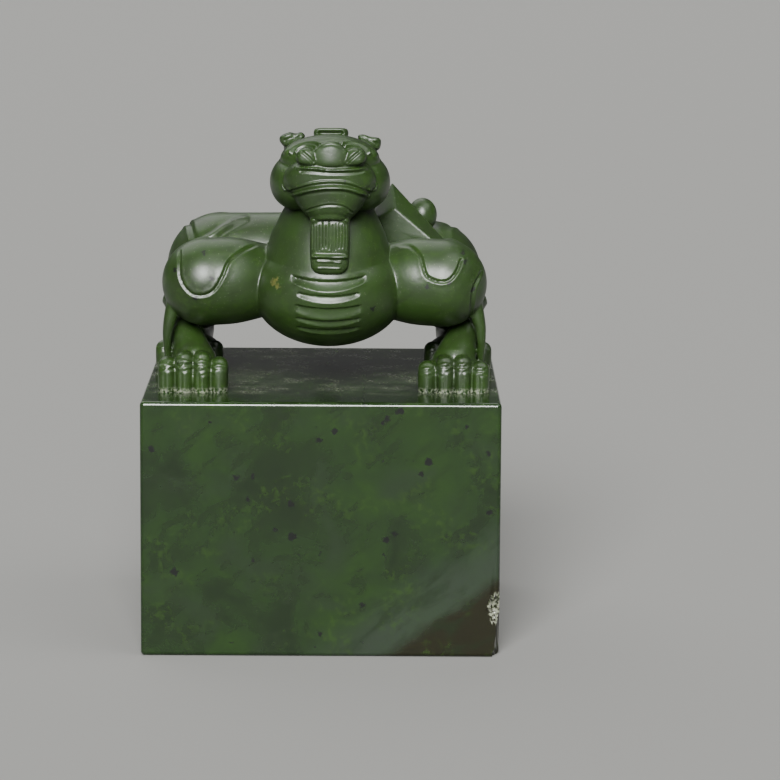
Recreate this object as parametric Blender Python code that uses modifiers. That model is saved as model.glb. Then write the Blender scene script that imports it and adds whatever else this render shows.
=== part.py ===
"""Jade seal stamp: a square block of dark green nephrite, with a crouching horned beast carved in one with it.

Metres, +Z up. The seal face lies on Z = 0, centred on the origin, and the beast looks towards -Y.
Everything is one solid, because the real seal is cut from a single stone.
"""

import math

import bmesh
import bpy
from mathutils import Euler, Matrix, Vector

# Block
BLOCK_WIDTH = 0.0505
BLOCK_DEPTH = 0.0505
BLOCK_HEIGHT = 0.0363
EDGE_ROUNDING = 0.0006
EDGE_SEGMENTS = 3

# Chip in the block's front right edge, and the strip of that edge that has broken away below it
CHIP_HEIGHT = 0.0062
CHIP_RADIUS = 0.0017
CHIP_INSET = 0.0011
CHIP_LEAN = math.radians(14.0)

# Beast: its height above the block, and the bare stone left in front of its paws, behind and beside it
BEAST_HEIGHT = 0.0371
FRONT_MARGIN = 0.0070
BACK_MARGIN = 0.0008
SIDE_MARGIN = 0.0004

# Melding of the forms into skins, finer on the head, and the share of the skins' triangles that is kept
BODY_MELD = 0.00045
HEAD_MELD = 0.00028
MELD_SMOOTHING = 2
BODY_SHARE = 0.052
HEAD_SHARE = 0.082

# The figure keeps its pose and carving as shares of its own size, and these are its sides in shares.
# Side runs to the right of the block's middle, forward runs to -Y and up starts at the block's top.
SHARES_WIDE = 49.7
SHARES_LONG = 42.7
SHARES_HIGH = 37.1
SHARES_BEHIND = 24.5

BODY_MIDDLE = 0.3
HEAD_MIDDLE = 1.05

JADE_GREEN = (0.045, 0.115, 0.040, 1.0)
JADE_ROUGHNESS = 0.28


def clear_scene():
    """Removes whatever the scene holds."""
    for obj in list(bpy.data.objects):
        bpy.data.objects.remove(obj)


def collection(name):
    """A new collection in the scene."""
    made = bpy.data.collections.new(name)
    bpy.context.scene.collection.children.link(made)
    return made


def jade_material():
    """Polished dark green jade."""
    material = bpy.data.materials.new("green_jade")
    material.use_nodes = True
    shader = material.node_tree.nodes["Principled BSDF"]
    shader.inputs["Base Color"].default_value = JADE_GREEN
    shader.inputs["Roughness"].default_value = JADE_ROUGHNESS
    shader.inputs["Metallic"].default_value = 0.0
    material.diffuse_color = JADE_GREEN
    return material


class Figure:
    """Closed forms that overlap, gathered in one mesh. Sizes are in shares, and places are (side, forward, up)."""

    def __init__(self):
        self.forms = bmesh.new()

    def add(self, form):
        """Takes in a closed form and frees it."""
        mesh = bpy.data.meshes.new("form")
        form.to_mesh(mesh)
        form.free()
        self.forms.from_mesh(mesh)
        bpy.data.meshes.remove(mesh)

    def lobe(self, centre, radii, roll=0.0):
        """An ellipsoid. roll turns it in the view from the front, in degrees."""
        place = Matrix.Translation(flipped(centre)) @ Matrix.Rotation(math.radians(roll), 4, "Y")
        form = bmesh.new()
        bmesh.ops.create_uvsphere(
            form, u_segments=32, v_segments=18, radius=1.0, matrix=place @ Matrix.Diagonal((*radii, 1.0))
        )
        self.add(form)

    def limb(self, points, radii):
        """A round form along a smooth line through the points, with a radius at each and a ball at either end."""
        curve = bpy.data.curves.new("limb", "CURVE")
        curve.dimensions = "3D"
        curve.bevel_depth = 1.0
        curve.bevel_resolution = 10
        curve.resolution_u = 6
        curve.use_fill_caps = True
        spline = curve.splines.new("BEZIER")
        spline.bezier_points.add(len(points) - 1)
        for knot, point, radius in zip(spline.bezier_points, points, radii):
            knot.co = flipped(point)
            knot.radius = radius
            knot.handle_left_type = "AUTO"
            knot.handle_right_type = "AUTO"
        guide = bpy.data.objects.new("limb", curve)
        bpy.context.scene.collection.objects.link(guide)
        mesh = bpy.data.meshes.new_from_object(guide.evaluated_get(bpy.context.evaluated_depsgraph_get()))
        form = bmesh.new()
        form.from_mesh(mesh)
        bmesh.ops.remove_doubles(form, verts=form.verts, dist=1e-4)
        self.add(form)
        bpy.data.objects.remove(guide)
        bpy.data.curves.remove(curve)
        bpy.data.meshes.remove(mesh)
        for end in (0, -1):
            self.lobe(points[end], (radii[end],) * 3)

    def slab(self, centre, half_sizes, rounding, pitch=0.0):
        """A box with rounded edges. pitch leans its top back, in degrees."""
        form = bmesh.new()
        bmesh.ops.create_cube(form, size=2.0, matrix=Matrix.Diagonal((*half_sizes, 1.0)))
        bmesh.ops.bevel(form, geom=form.edges, offset=rounding, segments=4, profile=0.5, affect="EDGES")
        form.transform(Matrix.Translation(flipped(centre)) @ Matrix.Rotation(math.radians(-pitch), 4, "X"))
        self.add(form)

    def blade(self, front, back):
        """A three-cornered blade between two triangles whose corners match."""
        form = bmesh.new()
        corners = [[form.verts.new(flipped(corner)) for corner in face] for face in (front, back)]
        form.faces.new(corners[0])
        form.faces.new(reversed(corners[1]))
        for n in range(3):
            form.faces.new((corners[0][n], corners[0][n - 1], corners[1][n - 1], corners[1][n]))
        bmesh.ops.recalc_face_normals(form, faces=form.faces)
        self.add(form)


def flipped(point):
    """The point in mesh axes, where forward is -Y."""
    return Vector((point[0], -point[1], point[2]))


def mirrored(points, side, middle):
    """The points of a paired form, given outward from the middle, on the side -1 or 1."""
    return [(middle + side * out, forward, up) for out, forward, up in points]


def front_of(lobes, side, up, sink=0.0):
    """The frontmost point of some lobes at this side and height, sunk in by a little.

    Just outside all their outlines it is the middle depth of the nearest lobe.
    """
    reach = []
    nearest = (-math.inf, 0.0)
    for centre, radii in lobes:
        share = 1 - ((side - centre[0]) / radii[0]) ** 2 - ((up - centre[2]) / radii[2]) ** 2
        nearest = max(nearest, (share, centre[1]))
        if share > 0:
            reach.append(centre[1] + radii[1] * math.sqrt(share))
    return (side, max(reach, default=nearest[1]) - sink, up)


def paired(lobes, middle):
    """Lobes given outward from the middle, on both sides of it."""
    return [
        ((middle + side * centre[0], centre[1], centre[2]), radii) for side in (-1, 1) for centre, radii in lobes
    ]


TRUNK = [
    ((0.9, 11.6, 14.0), (10.9, 9.2, 8.0)),
    ((0.8, 10.6, 20.0), (8.5, 7.2, 6.8)),
    ((1.0, 9.8, 25.5), (6.2, 5.6, 5.5)),
    ((0.3, 2.0, 14.8), (9.0, 10.5, 6.5)),
    ((0.2, -5.0, 15.2), (9.5, 10.0, 6.6)),
]

HEAD = [
    ((HEAD_MIDDLE, 13.4, 31.2), (7.6, 7.0, 4.8)),
    ((HEAD_MIDDLE, 15.0, 32.9), (6.9, 5.4, 3.4)),
    ((HEAD_MIDDLE, 17.6, 30.8), (5.2, 5.6, 2.8)),
    ((HEAD_MIDDLE, 17.0, 28.3), (5.7, 5.2, 2.1)),
    ((HEAD_MIDDLE, 16.9, 27.1), (2.8, 4.8, 2.5)),
    ((HEAD_MIDDLE, 21.1, 34.4), (2.1, 1.7, 1.4)),
    ((HEAD_MIDDLE, 21.4, 33.6), (2.7, 1.7, 0.85)),
    *paired(
        [
            ((4.7, 13.6, 29.7), (3.8, 6.0, 4.0)),
            ((3.5, 17.4, 30.8), (2.8, 4.9, 2.5)),
            ((2.2, 16.9, 27.1), (2.8, 4.8, 2.5)),
        ],
        HEAD_MIDDLE,
    ),
]


def carve_trunk(figure):
    """Chest, neck, back, and a level rump between the haunches."""
    for centre, radii in TRUNK:
        figure.lobe(centre, radii)
    figure.limb([(-14.6, -12.2, 15.4), (0.2, -11.8, 15.4), (14.4, -12.4, 14.4)], [6.8, 6.8, 6.5])


def carve_spine(figure):
    """A ridge of knobs down the middle of the back."""
    knobs = 8
    for n in range(knobs):
        along = n / (knobs - 1)
        rise = 21.4 + 0.9 * along - 0.8 * math.sin(math.pi * along)
        figure.lobe((0.5 - 0.3 * along, 3.0 - 21.5 * along, rise), (1.7, 1.8, 1.5))


def carve_foreleg(figure, side):
    """Upper arm held out sideways, forearm straight down, and tufts of hair that hang from the elbow."""
    arm = [(8.0, 8.6, 15.0), (12.6, 10.2, 15.1), (16.9, 10.9, 15.0)]
    figure.limb(mirrored(arm, side, BODY_MIDDLE), [5.7, 6.3, 6.2])
    forearm = [(19.2, 8.6, 11.0), (18.9, 10.4, 7.0), (18.4, 12.0, 3.6)]
    figure.limb(mirrored(forearm, side, BODY_MIDDLE), [3.9, 3.1, 3.2])
    for reach, thick in ((11.9, 0.75), (9.4, 0.85), (6.9, 0.75)):
        tuft = [(21.2, reach - 0.3, 12.5), (22.3, reach, 8.2), (22.4, reach - 1.0, 3.9 + 0.5 * (11.9 - reach))]
        figure.limb(mirrored(tuft, side, BODY_MIDDLE), [1.3, thick, 0.45])


def carve_hind_leg(figure, side, haunch, radii):
    """Haunch, knee, and the low hind leg that runs back to the hock and forward again to the foot."""
    figure.lobe(*mirrored([haunch], side, BODY_MIDDLE), radii)
    figure.lobe(*mirrored([(18.0, -3.6, 13.9)], side, BODY_MIDDLE), (3.9, 4.4, 5.7))
    leg = [(18.4, -14.5, 9.0), (19.3, -19.4, 6.4), (19.6, -18.6, 3.2), (19.6, -12.0, 2.4)]
    figure.limb(mirrored(leg, side, 0.0), [4.6, 3.0, 2.8, 2.7])


def carve_paw(figure, middle, reach, height, width):
    """A paw of four bent toes. reach is how far forward the toes come."""
    figure.lobe((middle, reach - 5.8, 1.9), (width * 0.45, 5.2, height * 0.56))
    thick = width * 0.131
    for n in range(4):
        across = (n - 1.5) / 1.5
        drop = 0.95 * across * across
        back = reach - 0.5 * drop
        side = middle + across * (width * 0.5 - thick)
        toe = [
            (side, back - thick - 3.8, height - drop - thick - 0.7),
            (side, back - thick - 1.0, height - drop - thick),
            (side, back - thick - 0.1, height * 0.5),
            (side, back - thick, 0.4),
        ]
        figure.limb(toe, [thick * 0.9, thick, thick, thick * 0.97])


def carve_nose(figure):
    """Nostril wings that curl up on either side of the nose."""
    for side in (-1, 1):
        wing = [(2.3, 33.05), (3.7, 33.4), (4.45, 34.1), (3.6, 34.75), (2.5, 34.3)]
        line = [front_of(HEAD, HEAD_MIDDLE + side * out, up, -0.1) for out, up in wing]
        figure.limb(line, [0.45, 0.55, 0.55, 0.5, 0.4])


def carve_brows(figure):
    """The rim over the face, and two arcs above each eye."""
    rim = [(-6.5, 33.7), (-5.6, 35.0), (-3.6, 35.8), (0.0, 36.1), (3.6, 35.8), (5.6, 35.0), (6.5, 33.7)]
    figure.limb([front_of(HEAD, HEAD_MIDDLE + out, up, 0.1) for out, up in rim], [0.5] * len(rim))
    for side in (-1, 1):
        for arc, thick in (
            ([(6.0, 33.9), (5.2, 34.9), (4.0, 35.5), (2.5, 35.6), (1.4, 35.3)], 0.42),
            ([(4.9, 34.0), (4.2, 34.6), (3.2, 34.95), (2.2, 35.0), (1.6, 34.9)], 0.36),
        ):
            figure.limb([front_of(HEAD, HEAD_MIDDLE + side * out, up) for out, up in arc], [thick] * len(arc))


def carve_lips(figure):
    """The crescent over the muzzle, the lower lip, the rim under it and the curled corners of the mouth."""
    for line, thick in (
        ([(-4.3, 32.5), (-2.2, 32.25), (0.0, 32.1), (2.6, 32.15), (5.2, 32.3)], 0.34),
        ([(-4.9, 28.7), (-2.5, 29.6), (0.0, 29.95), (2.7, 29.6), (5.3, 28.6)], 0.42),
        ([(-4.2, 26.3), (-2.2, 26.9), (0.0, 27.0), (2.2, 26.9), (4.3, 26.2)], 0.25),
    ):
        figure.limb([front_of(HEAD, HEAD_MIDDLE + out, up) for out, up in line], [thick] * len(line))
    for side in (-1, 1):
        corner = front_of(HEAD, HEAD_MIDDLE + side * 5.9, 29.5, 0.3)
        figure.lobe(corner, (0.6, 0.9, 0.7))


def carve_ears_and_horn(figure):
    """Two short folded ears, and a flat horn that lies back over the head and neck."""
    for side in (-1, 1):
        for out, up, radii in ((5.5, 34.9, (1.7, 1.2, 1.2)), (6.3, 35.3, (1.0, 1.0, 0.7)), (4.6, 35.4, (1.0, 1.0, 0.8))):
            figure.lobe((HEAD_MIDDLE + side * out, 11.4, up + 0.25), radii, roll=side * 12.0)
    figure.slab((HEAD_MIDDLE, 12.0, 35.8), (2.3, 1.7, 1.1), 0.6)
    horn = [(0.0, 9.6, 34.9), (0.0, 6.2, 33.0), (0.0, 4.4, 29.4), (-0.1, 3.2, 25.6)]
    figure.limb(mirrored(horn, 1, HEAD_MIDDLE), [1.4, 1.6, 1.5, 1.0])


def carve_mane(figure):
    """Locks of hair combed back from behind the ears and down the neck."""
    locks = 5
    for n in range(locks):
        spread = 2 * n / (locks - 1) - 1
        behind = 1.6 * (1 - abs(spread))
        lock = [
            (4.6 * spread, 9.0 - behind, 31.6),
            (5.0 * spread, 5.4 - behind, 27.4),
            (5.4 * spread, 3.6 - behind, 23.4),
        ]
        figure.limb(mirrored(lock, 1, HEAD_MIDDLE), [1.9, 1.6, 0.8])


def carve_beard(figure):
    """A square-cut beard that hangs from the chin and lies on the chest, with a band near its end."""
    figure.slab((1.1, 18.5, 21.3), (2.75, 2.0, 4.2), 0.9, pitch=-2.0)
    figure.limb([(-1.0, 20.5, 19.6), (3.2, 20.5, 19.6)], [0.42, 0.42])


def carve_chest_bands(figure):
    """Five raised bands across the chest, each hanging a little in the middle."""
    for up, half, sag, thick in (
        (16.4, 5.3, 1.0, 0.72),
        (14.1, 4.7, 0.8, 0.55),
        (12.1, 4.5, 0.6, 0.55),
        (10.3, 4.3, 0.5, 0.55),
        (8.6, 3.8, 0.3, 0.5),
    ):
        steps = 5
        line = []
        for n in range(steps):
            across = 2 * n / (steps - 1) - 1
            line.append(front_of(TRUNK, 0.9 + half * across, up - sag * (1 - across * across)))
        figure.limb(line, [thick] * steps)


def carve_tail(figure):
    """The tail climbs the rump, crosses to the right and ends in a knob and a pointed blade beside the neck."""
    figure.limb(
        [
            (0.2, -18.4, 9.0),
            (0.6, -20.4, 14.0),
            (3.2, -18.2, 20.2),
            (8.0, -13.2, 21.8),
            (11.2, -8.0, 20.8),
            (11.2, -2.6, 19.4),
        ],
        [2.4, 2.9, 2.7, 2.6, 2.9, 3.4],
    )
    figure.lobe((14.45, -7.6, 22.6), (2.15, 2.4, 2.5))
    figure.blade(
        ((7.2, 5.0, 19.0), (18.2, 3.8, 19.5), (9.9, 0.8, 28.3)),
        ((7.0, -4.0, 19.0), (16.4, -5.4, 19.2), (10.2, -3.6, 26.6)),
    )


def figure_to_seal():
    """Carries the figure's shares to metres on top of the block."""
    length = BLOCK_DEPTH - FRONT_MARGIN - BACK_MARGIN
    behind = BLOCK_DEPTH / 2 - BACK_MARGIN
    scale = Vector(((BLOCK_WIDTH - 2 * SIDE_MARGIN) / SHARES_WIDE, length / SHARES_LONG, BEAST_HEIGHT / SHARES_HIGH))
    shift = Matrix.Translation((0.0, behind - SHARES_BEHIND * scale.y, BLOCK_HEIGHT))
    return shift @ Matrix.Diagonal((*scale, 1.0))


def make_body():
    """Trunk, legs, paws and tail."""
    body = Figure()
    carve_trunk(body)
    carve_spine(body)
    carve_foreleg(body, -1)
    carve_foreleg(body, 1)
    carve_hind_leg(body, -1, (15.6, -12.6, 14.1), (8.1, 8.8, 8.1))
    carve_hind_leg(body, 1, (15.2, -12.6, 13.5), (7.8, 8.6, 7.6))
    carve_paw(body, -18.2, 18.2, 5.9, 10.0)
    carve_paw(body, 18.7, 17.5, 5.4, 10.2)
    carve_paw(body, -19.8, -4.0, 4.8, 10.0)
    carve_paw(body, 19.8, -4.0, 4.8, 10.0)
    carve_chest_bands(body)
    carve_tail(body)
    return body


def make_head():
    """Head, with its face, ears, horn, mane and beard."""
    head = Figure()
    for centre, radii in HEAD:
        head.lobe(centre, radii)
    carve_nose(head)
    carve_brows(head)
    carve_lips(head)
    carve_ears_and_horn(head)
    carve_mane(head)
    carve_beard(head)
    return head


def carved_skin(helpers, name, figure, meld_size, share):
    """The forms of a figure as one closed skin, set on the block and kept out of the render."""
    figure.forms.transform(figure_to_seal())
    mesh = bpy.data.meshes.new(name)
    figure.forms.to_mesh(mesh)
    figure.forms.free()
    skin = bpy.data.objects.new(name, mesh)
    helpers.objects.link(skin)
    skin.hide_render = True
    skin.display_type = "WIRE"
    meld = skin.modifiers.new("Meld", "REMESH")
    meld.mode = "VOXEL"
    meld.voxel_size = meld_size
    meld.use_smooth_shade = True
    polish = skin.modifiers.new("Polish", "SMOOTH")
    polish.factor = 0.5
    polish.iterations = MELD_SMOOTHING
    facet = skin.modifiers.new("Facet", "DECIMATE")
    facet.ratio = share
    facet.use_collapse_triangulate = True
    return skin


def make_edge_loss(helpers):
    """The stone lost from the front right edge: a chip, and a strip that runs down from it to the base."""
    edge = Vector((BLOCK_WIDTH / 2, -BLOCK_DEPTH / 2, CHIP_HEIGHT))
    lost = bmesh.new()
    bmesh.ops.create_icosphere(lost, subdivisions=2, radius=CHIP_RADIUS, matrix=Matrix.Translation(edge))
    strip = Matrix.Translation(edge - Vector((0.0, 0.0, CHIP_HEIGHT))) @ Matrix.Rotation(CHIP_LEAN, 4, "Z")
    bmesh.ops.create_cube(
        lost, size=2.0, matrix=strip @ Matrix.Diagonal((CHIP_INSET, 3 * CHIP_RADIUS, CHIP_HEIGHT, 1.0))
    )
    mesh = bpy.data.meshes.new("edge_loss")
    lost.to_mesh(mesh)
    lost.free()
    cutter = bpy.data.objects.new("edge_loss", mesh)
    helpers.objects.link(cutter)
    cutter.hide_render = True
    cutter.display_type = "WIRE"
    return cutter


def add_boolean(obj, name, operation, other):
    """Joins or cuts obj with the other object."""
    boolean = obj.modifiers.new(name, "BOOLEAN")
    boolean.operation = operation
    boolean.object = other
    boolean.use_self = True


def make_seal(parts, body, head, edge_loss):
    """The block, less the stone lost from its edge, with the beast carved on its top."""
    block = bmesh.new()
    bmesh.ops.create_cube(
        block,
        size=1.0,
        matrix=Matrix.Translation((0.0, 0.0, BLOCK_HEIGHT / 2))
        @ Matrix.Diagonal((BLOCK_WIDTH, BLOCK_DEPTH, BLOCK_HEIGHT, 1.0)),
    )
    mesh = bpy.data.meshes.new("jade_seal")
    block.to_mesh(mesh)
    block.free()
    seal = bpy.data.objects.new("jade_seal", mesh)
    parts.objects.link(seal)
    mesh.materials.append(jade_material())
    rounding = seal.modifiers.new("Edges", "BEVEL")
    rounding.width = EDGE_ROUNDING
    rounding.segments = EDGE_SEGMENTS
    add_boolean(seal, "Edge loss", "DIFFERENCE", edge_loss)
    add_boolean(seal, "Body", "UNION", body)
    add_boolean(seal, "Head", "UNION", head)


def main():
    clear_scene()
    parts = collection("jade_seal")
    helpers = collection("helpers")
    body = carved_skin(helpers, "body", make_body(), BODY_MELD, BODY_SHARE)
    head = carved_skin(helpers, "head", make_head(), HEAD_MELD, HEAD_SHARE)
    make_seal(parts, body, head, make_edge_loss(helpers))


main()
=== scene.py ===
"""Looks of the jade seal stamp: a polished nephrite block with a crouching horned beast carved on its top.

The CAD solid gives the seal's place and size. The carving here repeats its forms as fine surfaces, adds the
incised lines that the polisher left crisp, and dresses the whole stone as one piece.
"""

from __future__ import annotations

import logging
import math
from dataclasses import dataclass, field
from enum import Enum

import bpy
import numpy as np
import numpy.typing as npt
from mathutils import Matrix, Vector


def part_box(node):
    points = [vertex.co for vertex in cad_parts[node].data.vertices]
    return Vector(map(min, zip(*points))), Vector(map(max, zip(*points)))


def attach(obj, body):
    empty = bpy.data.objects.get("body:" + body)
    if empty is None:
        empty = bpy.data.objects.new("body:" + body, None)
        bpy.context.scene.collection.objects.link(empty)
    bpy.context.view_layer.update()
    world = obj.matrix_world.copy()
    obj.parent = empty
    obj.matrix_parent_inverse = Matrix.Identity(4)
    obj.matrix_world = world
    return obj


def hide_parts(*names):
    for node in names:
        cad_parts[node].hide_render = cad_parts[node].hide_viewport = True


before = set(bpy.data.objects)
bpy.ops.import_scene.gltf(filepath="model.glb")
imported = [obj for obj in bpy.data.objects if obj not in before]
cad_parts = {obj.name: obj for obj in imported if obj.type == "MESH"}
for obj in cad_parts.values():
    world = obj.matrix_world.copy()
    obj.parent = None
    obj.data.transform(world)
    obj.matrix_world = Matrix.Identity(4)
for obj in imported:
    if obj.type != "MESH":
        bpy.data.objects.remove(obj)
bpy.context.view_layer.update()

Array = npt.NDArray[np.float64]
IntArray = npt.NDArray[np.int32]
Point = tuple[float, float, float]
Knots = list[tuple[float, float]]

LOG = logging.getLogger("jade_seal")
NODE = "jade_seal"
MM = 0.001
# How much the eye's line falls for each share that it goes back, and where the face's lines are drawn true
EYE_SLOPE = 0.095
FACE_PLANE = 21.0
NO_LIMIT = 99.0
# The cosine at which a tool no longer marks the stone, and over how much more of it the mark fades in
TURNED_AWAY = 0.2
FADE = 0.35


class Side(Enum):
    """The beast's two sides, as the sign of X: someone who faces the beast has RIGHT on their right."""

    LEFT = -1
    RIGHT = 1


class View(Enum):
    """The way a tool comes at the stone.

    Each view holds the tool's axis, the two rows that turn (side, back, up) into the axes that lines are
    drawn on, and the shift of the second of them. FACE looks down a little, as the camera does.
    """

    FRONT = ((0.0, -1.0, 0.0), (1.0, 0.0, 0.0), (0.0, 0.0, 1.0), 0.0)
    FACE = ((0.0, -1.0, 0.0), (1.0, 0.0, 0.0), (0.0, EYE_SLOPE, 1.0), EYE_SLOPE * FACE_PLANE)
    FROM_LEFT = ((-1.0, 0.0, 0.0), (0.0, 1.0, 0.0), (0.0, 0.0, 1.0), 0.0)
    FROM_RIGHT = ((1.0, 0.0, 0.0), (0.0, 1.0, 0.0), (0.0, 0.0, 1.0), 0.0)

    def drawn(self, points: Array) -> Array:
        """The points' places in this view: the two rows' products with them, and the shift."""
        _, first, second, shift = self.value
        return points @ np.array([first, second]).T + np.array([0.0, shift])


# Closed surfaces


@dataclass(frozen=True)
class Form:
    """A closed surface as points and triangles.

    Attributes:
        points: one row of x, y and z for each point.
        triangles: one row of three point numbers for each triangle.
    """

    points: Array
    triangles: IntArray

    def outward(self) -> Form:
        """This form with its triangles turned outwards: the volume under them, signed, must be positive.

        Returns:
            This form, or one with its triangles turned.
        """
        a, b, c = (self.points[self.triangles[:, n]] for n in range(3))
        volume = float(np.einsum("ij,ij->", a, np.cross(b, c)))
        return self if volume > 0 else Form(self.points, self.triangles[:, ::-1])


def join(forms: list[Form]) -> Form:
    """Gathers forms into one.

    Args:
        forms: the forms, which may overlap.

    Returns:
        A form that holds all their triangles.
    """
    starts = np.cumsum([0] + [len(form.points) for form in forms[:-1]])
    triangles = [form.triangles + start for form, start in zip(forms, starts)]
    return Form(np.concatenate([form.points for form in forms]), np.concatenate(triangles))


def sleeve(rings: Array, first: Array, last: Array) -> Form:
    """Closes a stack of rings with a point at either end.

    The surface is P(along, around) = rings[along, around]. Neighbouring rings are joined by pairs of
    triangles, and the first and last ring by a fan to their end point.

    Args:
        rings: points of shape (along, around, 3).
        first: the end point before the first ring.
        last: the end point after the last ring.

    Returns:
        The closed form, with its triangles outwards.
    """
    along, around = rings.shape[:2]
    number = np.arange(along * around).reshape(along, around)
    here, after = number[:-1], number[1:]
    here_next, after_next = np.roll(here, -1, axis=1), np.roll(after, -1, axis=1)
    walls = np.concatenate(
        [
            np.stack([here, here_next, after_next], axis=-1).reshape(-1, 3),
            np.stack([here, after_next, after], axis=-1).reshape(-1, 3),
        ]
    )
    start, end = along * around, along * around + 1
    front = np.stack([np.full(around, start), np.roll(number[0], -1), number[0]], axis=-1)
    back = np.stack([np.full(around, end), number[-1], np.roll(number[-1], -1)], axis=-1)
    points = np.concatenate([rings.reshape(-1, 3), [first, last]])
    return Form(points, np.concatenate([walls, front, back]).astype(np.int32)).outward()


def lobe(centre: Point, radii: Point) -> Form:
    """An ellipsoid.

    With polar angle t and turn u, side = a * sin(t) * cos(u), forward = b * sin(t) * sin(u) and
    up = c * cos(t), about the centre.

    Args:
        centre: the middle, as (side, forward, up).
        radii: the half sizes a, b and c.

    Returns:
        The closed form.
    """
    polar = np.linspace(0.0, math.pi, 66)[1:-1, None]
    turn = np.linspace(0.0, 2 * math.pi, 120, endpoint=False)[None, :]
    rings = np.stack(
        [
            radii[0] * np.sin(polar) * np.cos(turn),
            radii[1] * np.sin(polar) * np.sin(turn),
            radii[2] * np.cos(polar) * np.ones_like(turn),
        ],
        axis=-1,
    )
    end = np.array([0.0, 0.0, radii[2]])
    return sleeve(rings + centre, end + centre, -end + centre)


def smooth_line(knots: Array, steps: int) -> Array:
    """A Catmull-Rom line through the knots.

    Between knots B and C with neighbours A and D the line at share t is half of
    2B + (C - A)t + (2A - 5B + 4C - D)t^2 + (3B - A - 3C + D)t^3. The first and last knots are their own
    neighbours, mirrored.

    Args:
        knots: rows of coordinates, of any width.
        steps: the number of steps between knots.

    Returns:
        The points of the line, the knots among them.
    """
    padded = np.concatenate([[2 * knots[0] - knots[1]], knots, [2 * knots[-1] - knots[-2]]])
    a, b, c, d = (padded[n : len(padded) - 3 + n, None, :] for n in range(4))
    t = np.linspace(0.0, 1.0, steps, endpoint=False)[None, :, None]
    line = 0.5 * (2 * b + (c - a) * t + (2 * a - 5 * b + 4 * c - d) * t**2 + (3 * b - a - 3 * c + d) * t**3)
    return np.concatenate([line.reshape(-1, knots.shape[1]), knots[-1:]])


def limb(points: list[Point], radii: list[float]) -> Form:
    """A round form along a smooth line, with hemispheres for its ends.

    The surface is P(s, u) = L(s) + r(s) * (cos(u) * N(s) + sin(u) * B(s)), where L is the line, r the radius
    carried along it, and N and B two directions across it. At either end the radius falls as the cosine of
    an angle while the middle moves on by its sine, which rounds the end.

    Args:
        points: the line's knots.
        radii: the radius at each knot.

    Returns:
        The closed form.
    """
    knots = np.concatenate([np.array(points, float), np.array(radii, float)[:, None]], axis=1)
    line = smooth_line(knots, 16)
    tangent = np.gradient(line[:, :3], axis=0)
    tangent /= np.linalg.norm(tangent, axis=1, keepdims=True)
    angles = np.linspace(0.0, 0.5 * math.pi, 20)[1:-1]

    def cap(end: int, sign: float) -> tuple[Array, Array]:
        """Middles with radii, and tangents, of the rings that round one end, from the line outwards.

        Args:
            end: 0 for the first end, and -1 for the last.
            sign: which way along the line is outwards.

        Returns:
            The rings' middles with their radii, and their tangents.
        """
        reach = sign * tangent[end] * line[end, 3]
        middles = line[end, :3] + np.sin(angles)[:, None] * reach
        ring = np.concatenate([middles, np.cos(angles)[:, None] * line[end, 3]], axis=1)
        return ring, np.repeat(tangent[[end]], len(angles), axis=0)

    start, start_tangent = cap(0, -1.0)
    end, end_tangent = cap(-1, 1.0)
    middles = np.concatenate([start[::-1], line, end])
    directions = np.concatenate([start_tangent[::-1], tangent, end_tangent])
    reference = np.eye(3)[int(np.argmin(np.abs(tangent).max(axis=0)))]
    across = np.cross(directions, reference)
    across /= np.linalg.norm(across, axis=1, keepdims=True)
    beside = np.cross(directions, across)
    turn = np.linspace(0.0, 2 * math.pi, 90, endpoint=False)[None, :, None]
    spread = np.cos(turn) * across[:, None, :] + np.sin(turn) * beside[:, None, :]
    rings = middles[:, None, :3] + middles[:, None, 3:] * spread
    first = line[0, :3] - tangent[0] * line[0, 3]
    last = line[-1, :3] + tangent[-1] * line[-1, 3]
    return sleeve(rings, first, last)


def closed_line(knots: Array, steps: int) -> Array:
    """A Catmull-Rom line through the knots and back to the first."""
    around = np.concatenate([knots[-1:], knots, knots[:2]])
    return smooth_line(around, steps)[steps : -steps - 1]


def both_halves(half: Knots, middle: float) -> Array:
    """A closed outline from its right half, given outward from the middle, from its top to its foot.

    Args:
        half: the right half's knots.
        middle: the middle, across.

    Returns:
        The outline's knots, all the way round.
    """
    right = np.array(half, float)
    left = right[::-1][1:-1] * np.array([-1.0, 1.0])
    return np.concatenate([right, left]) + np.array([middle, 0.0])


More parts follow.
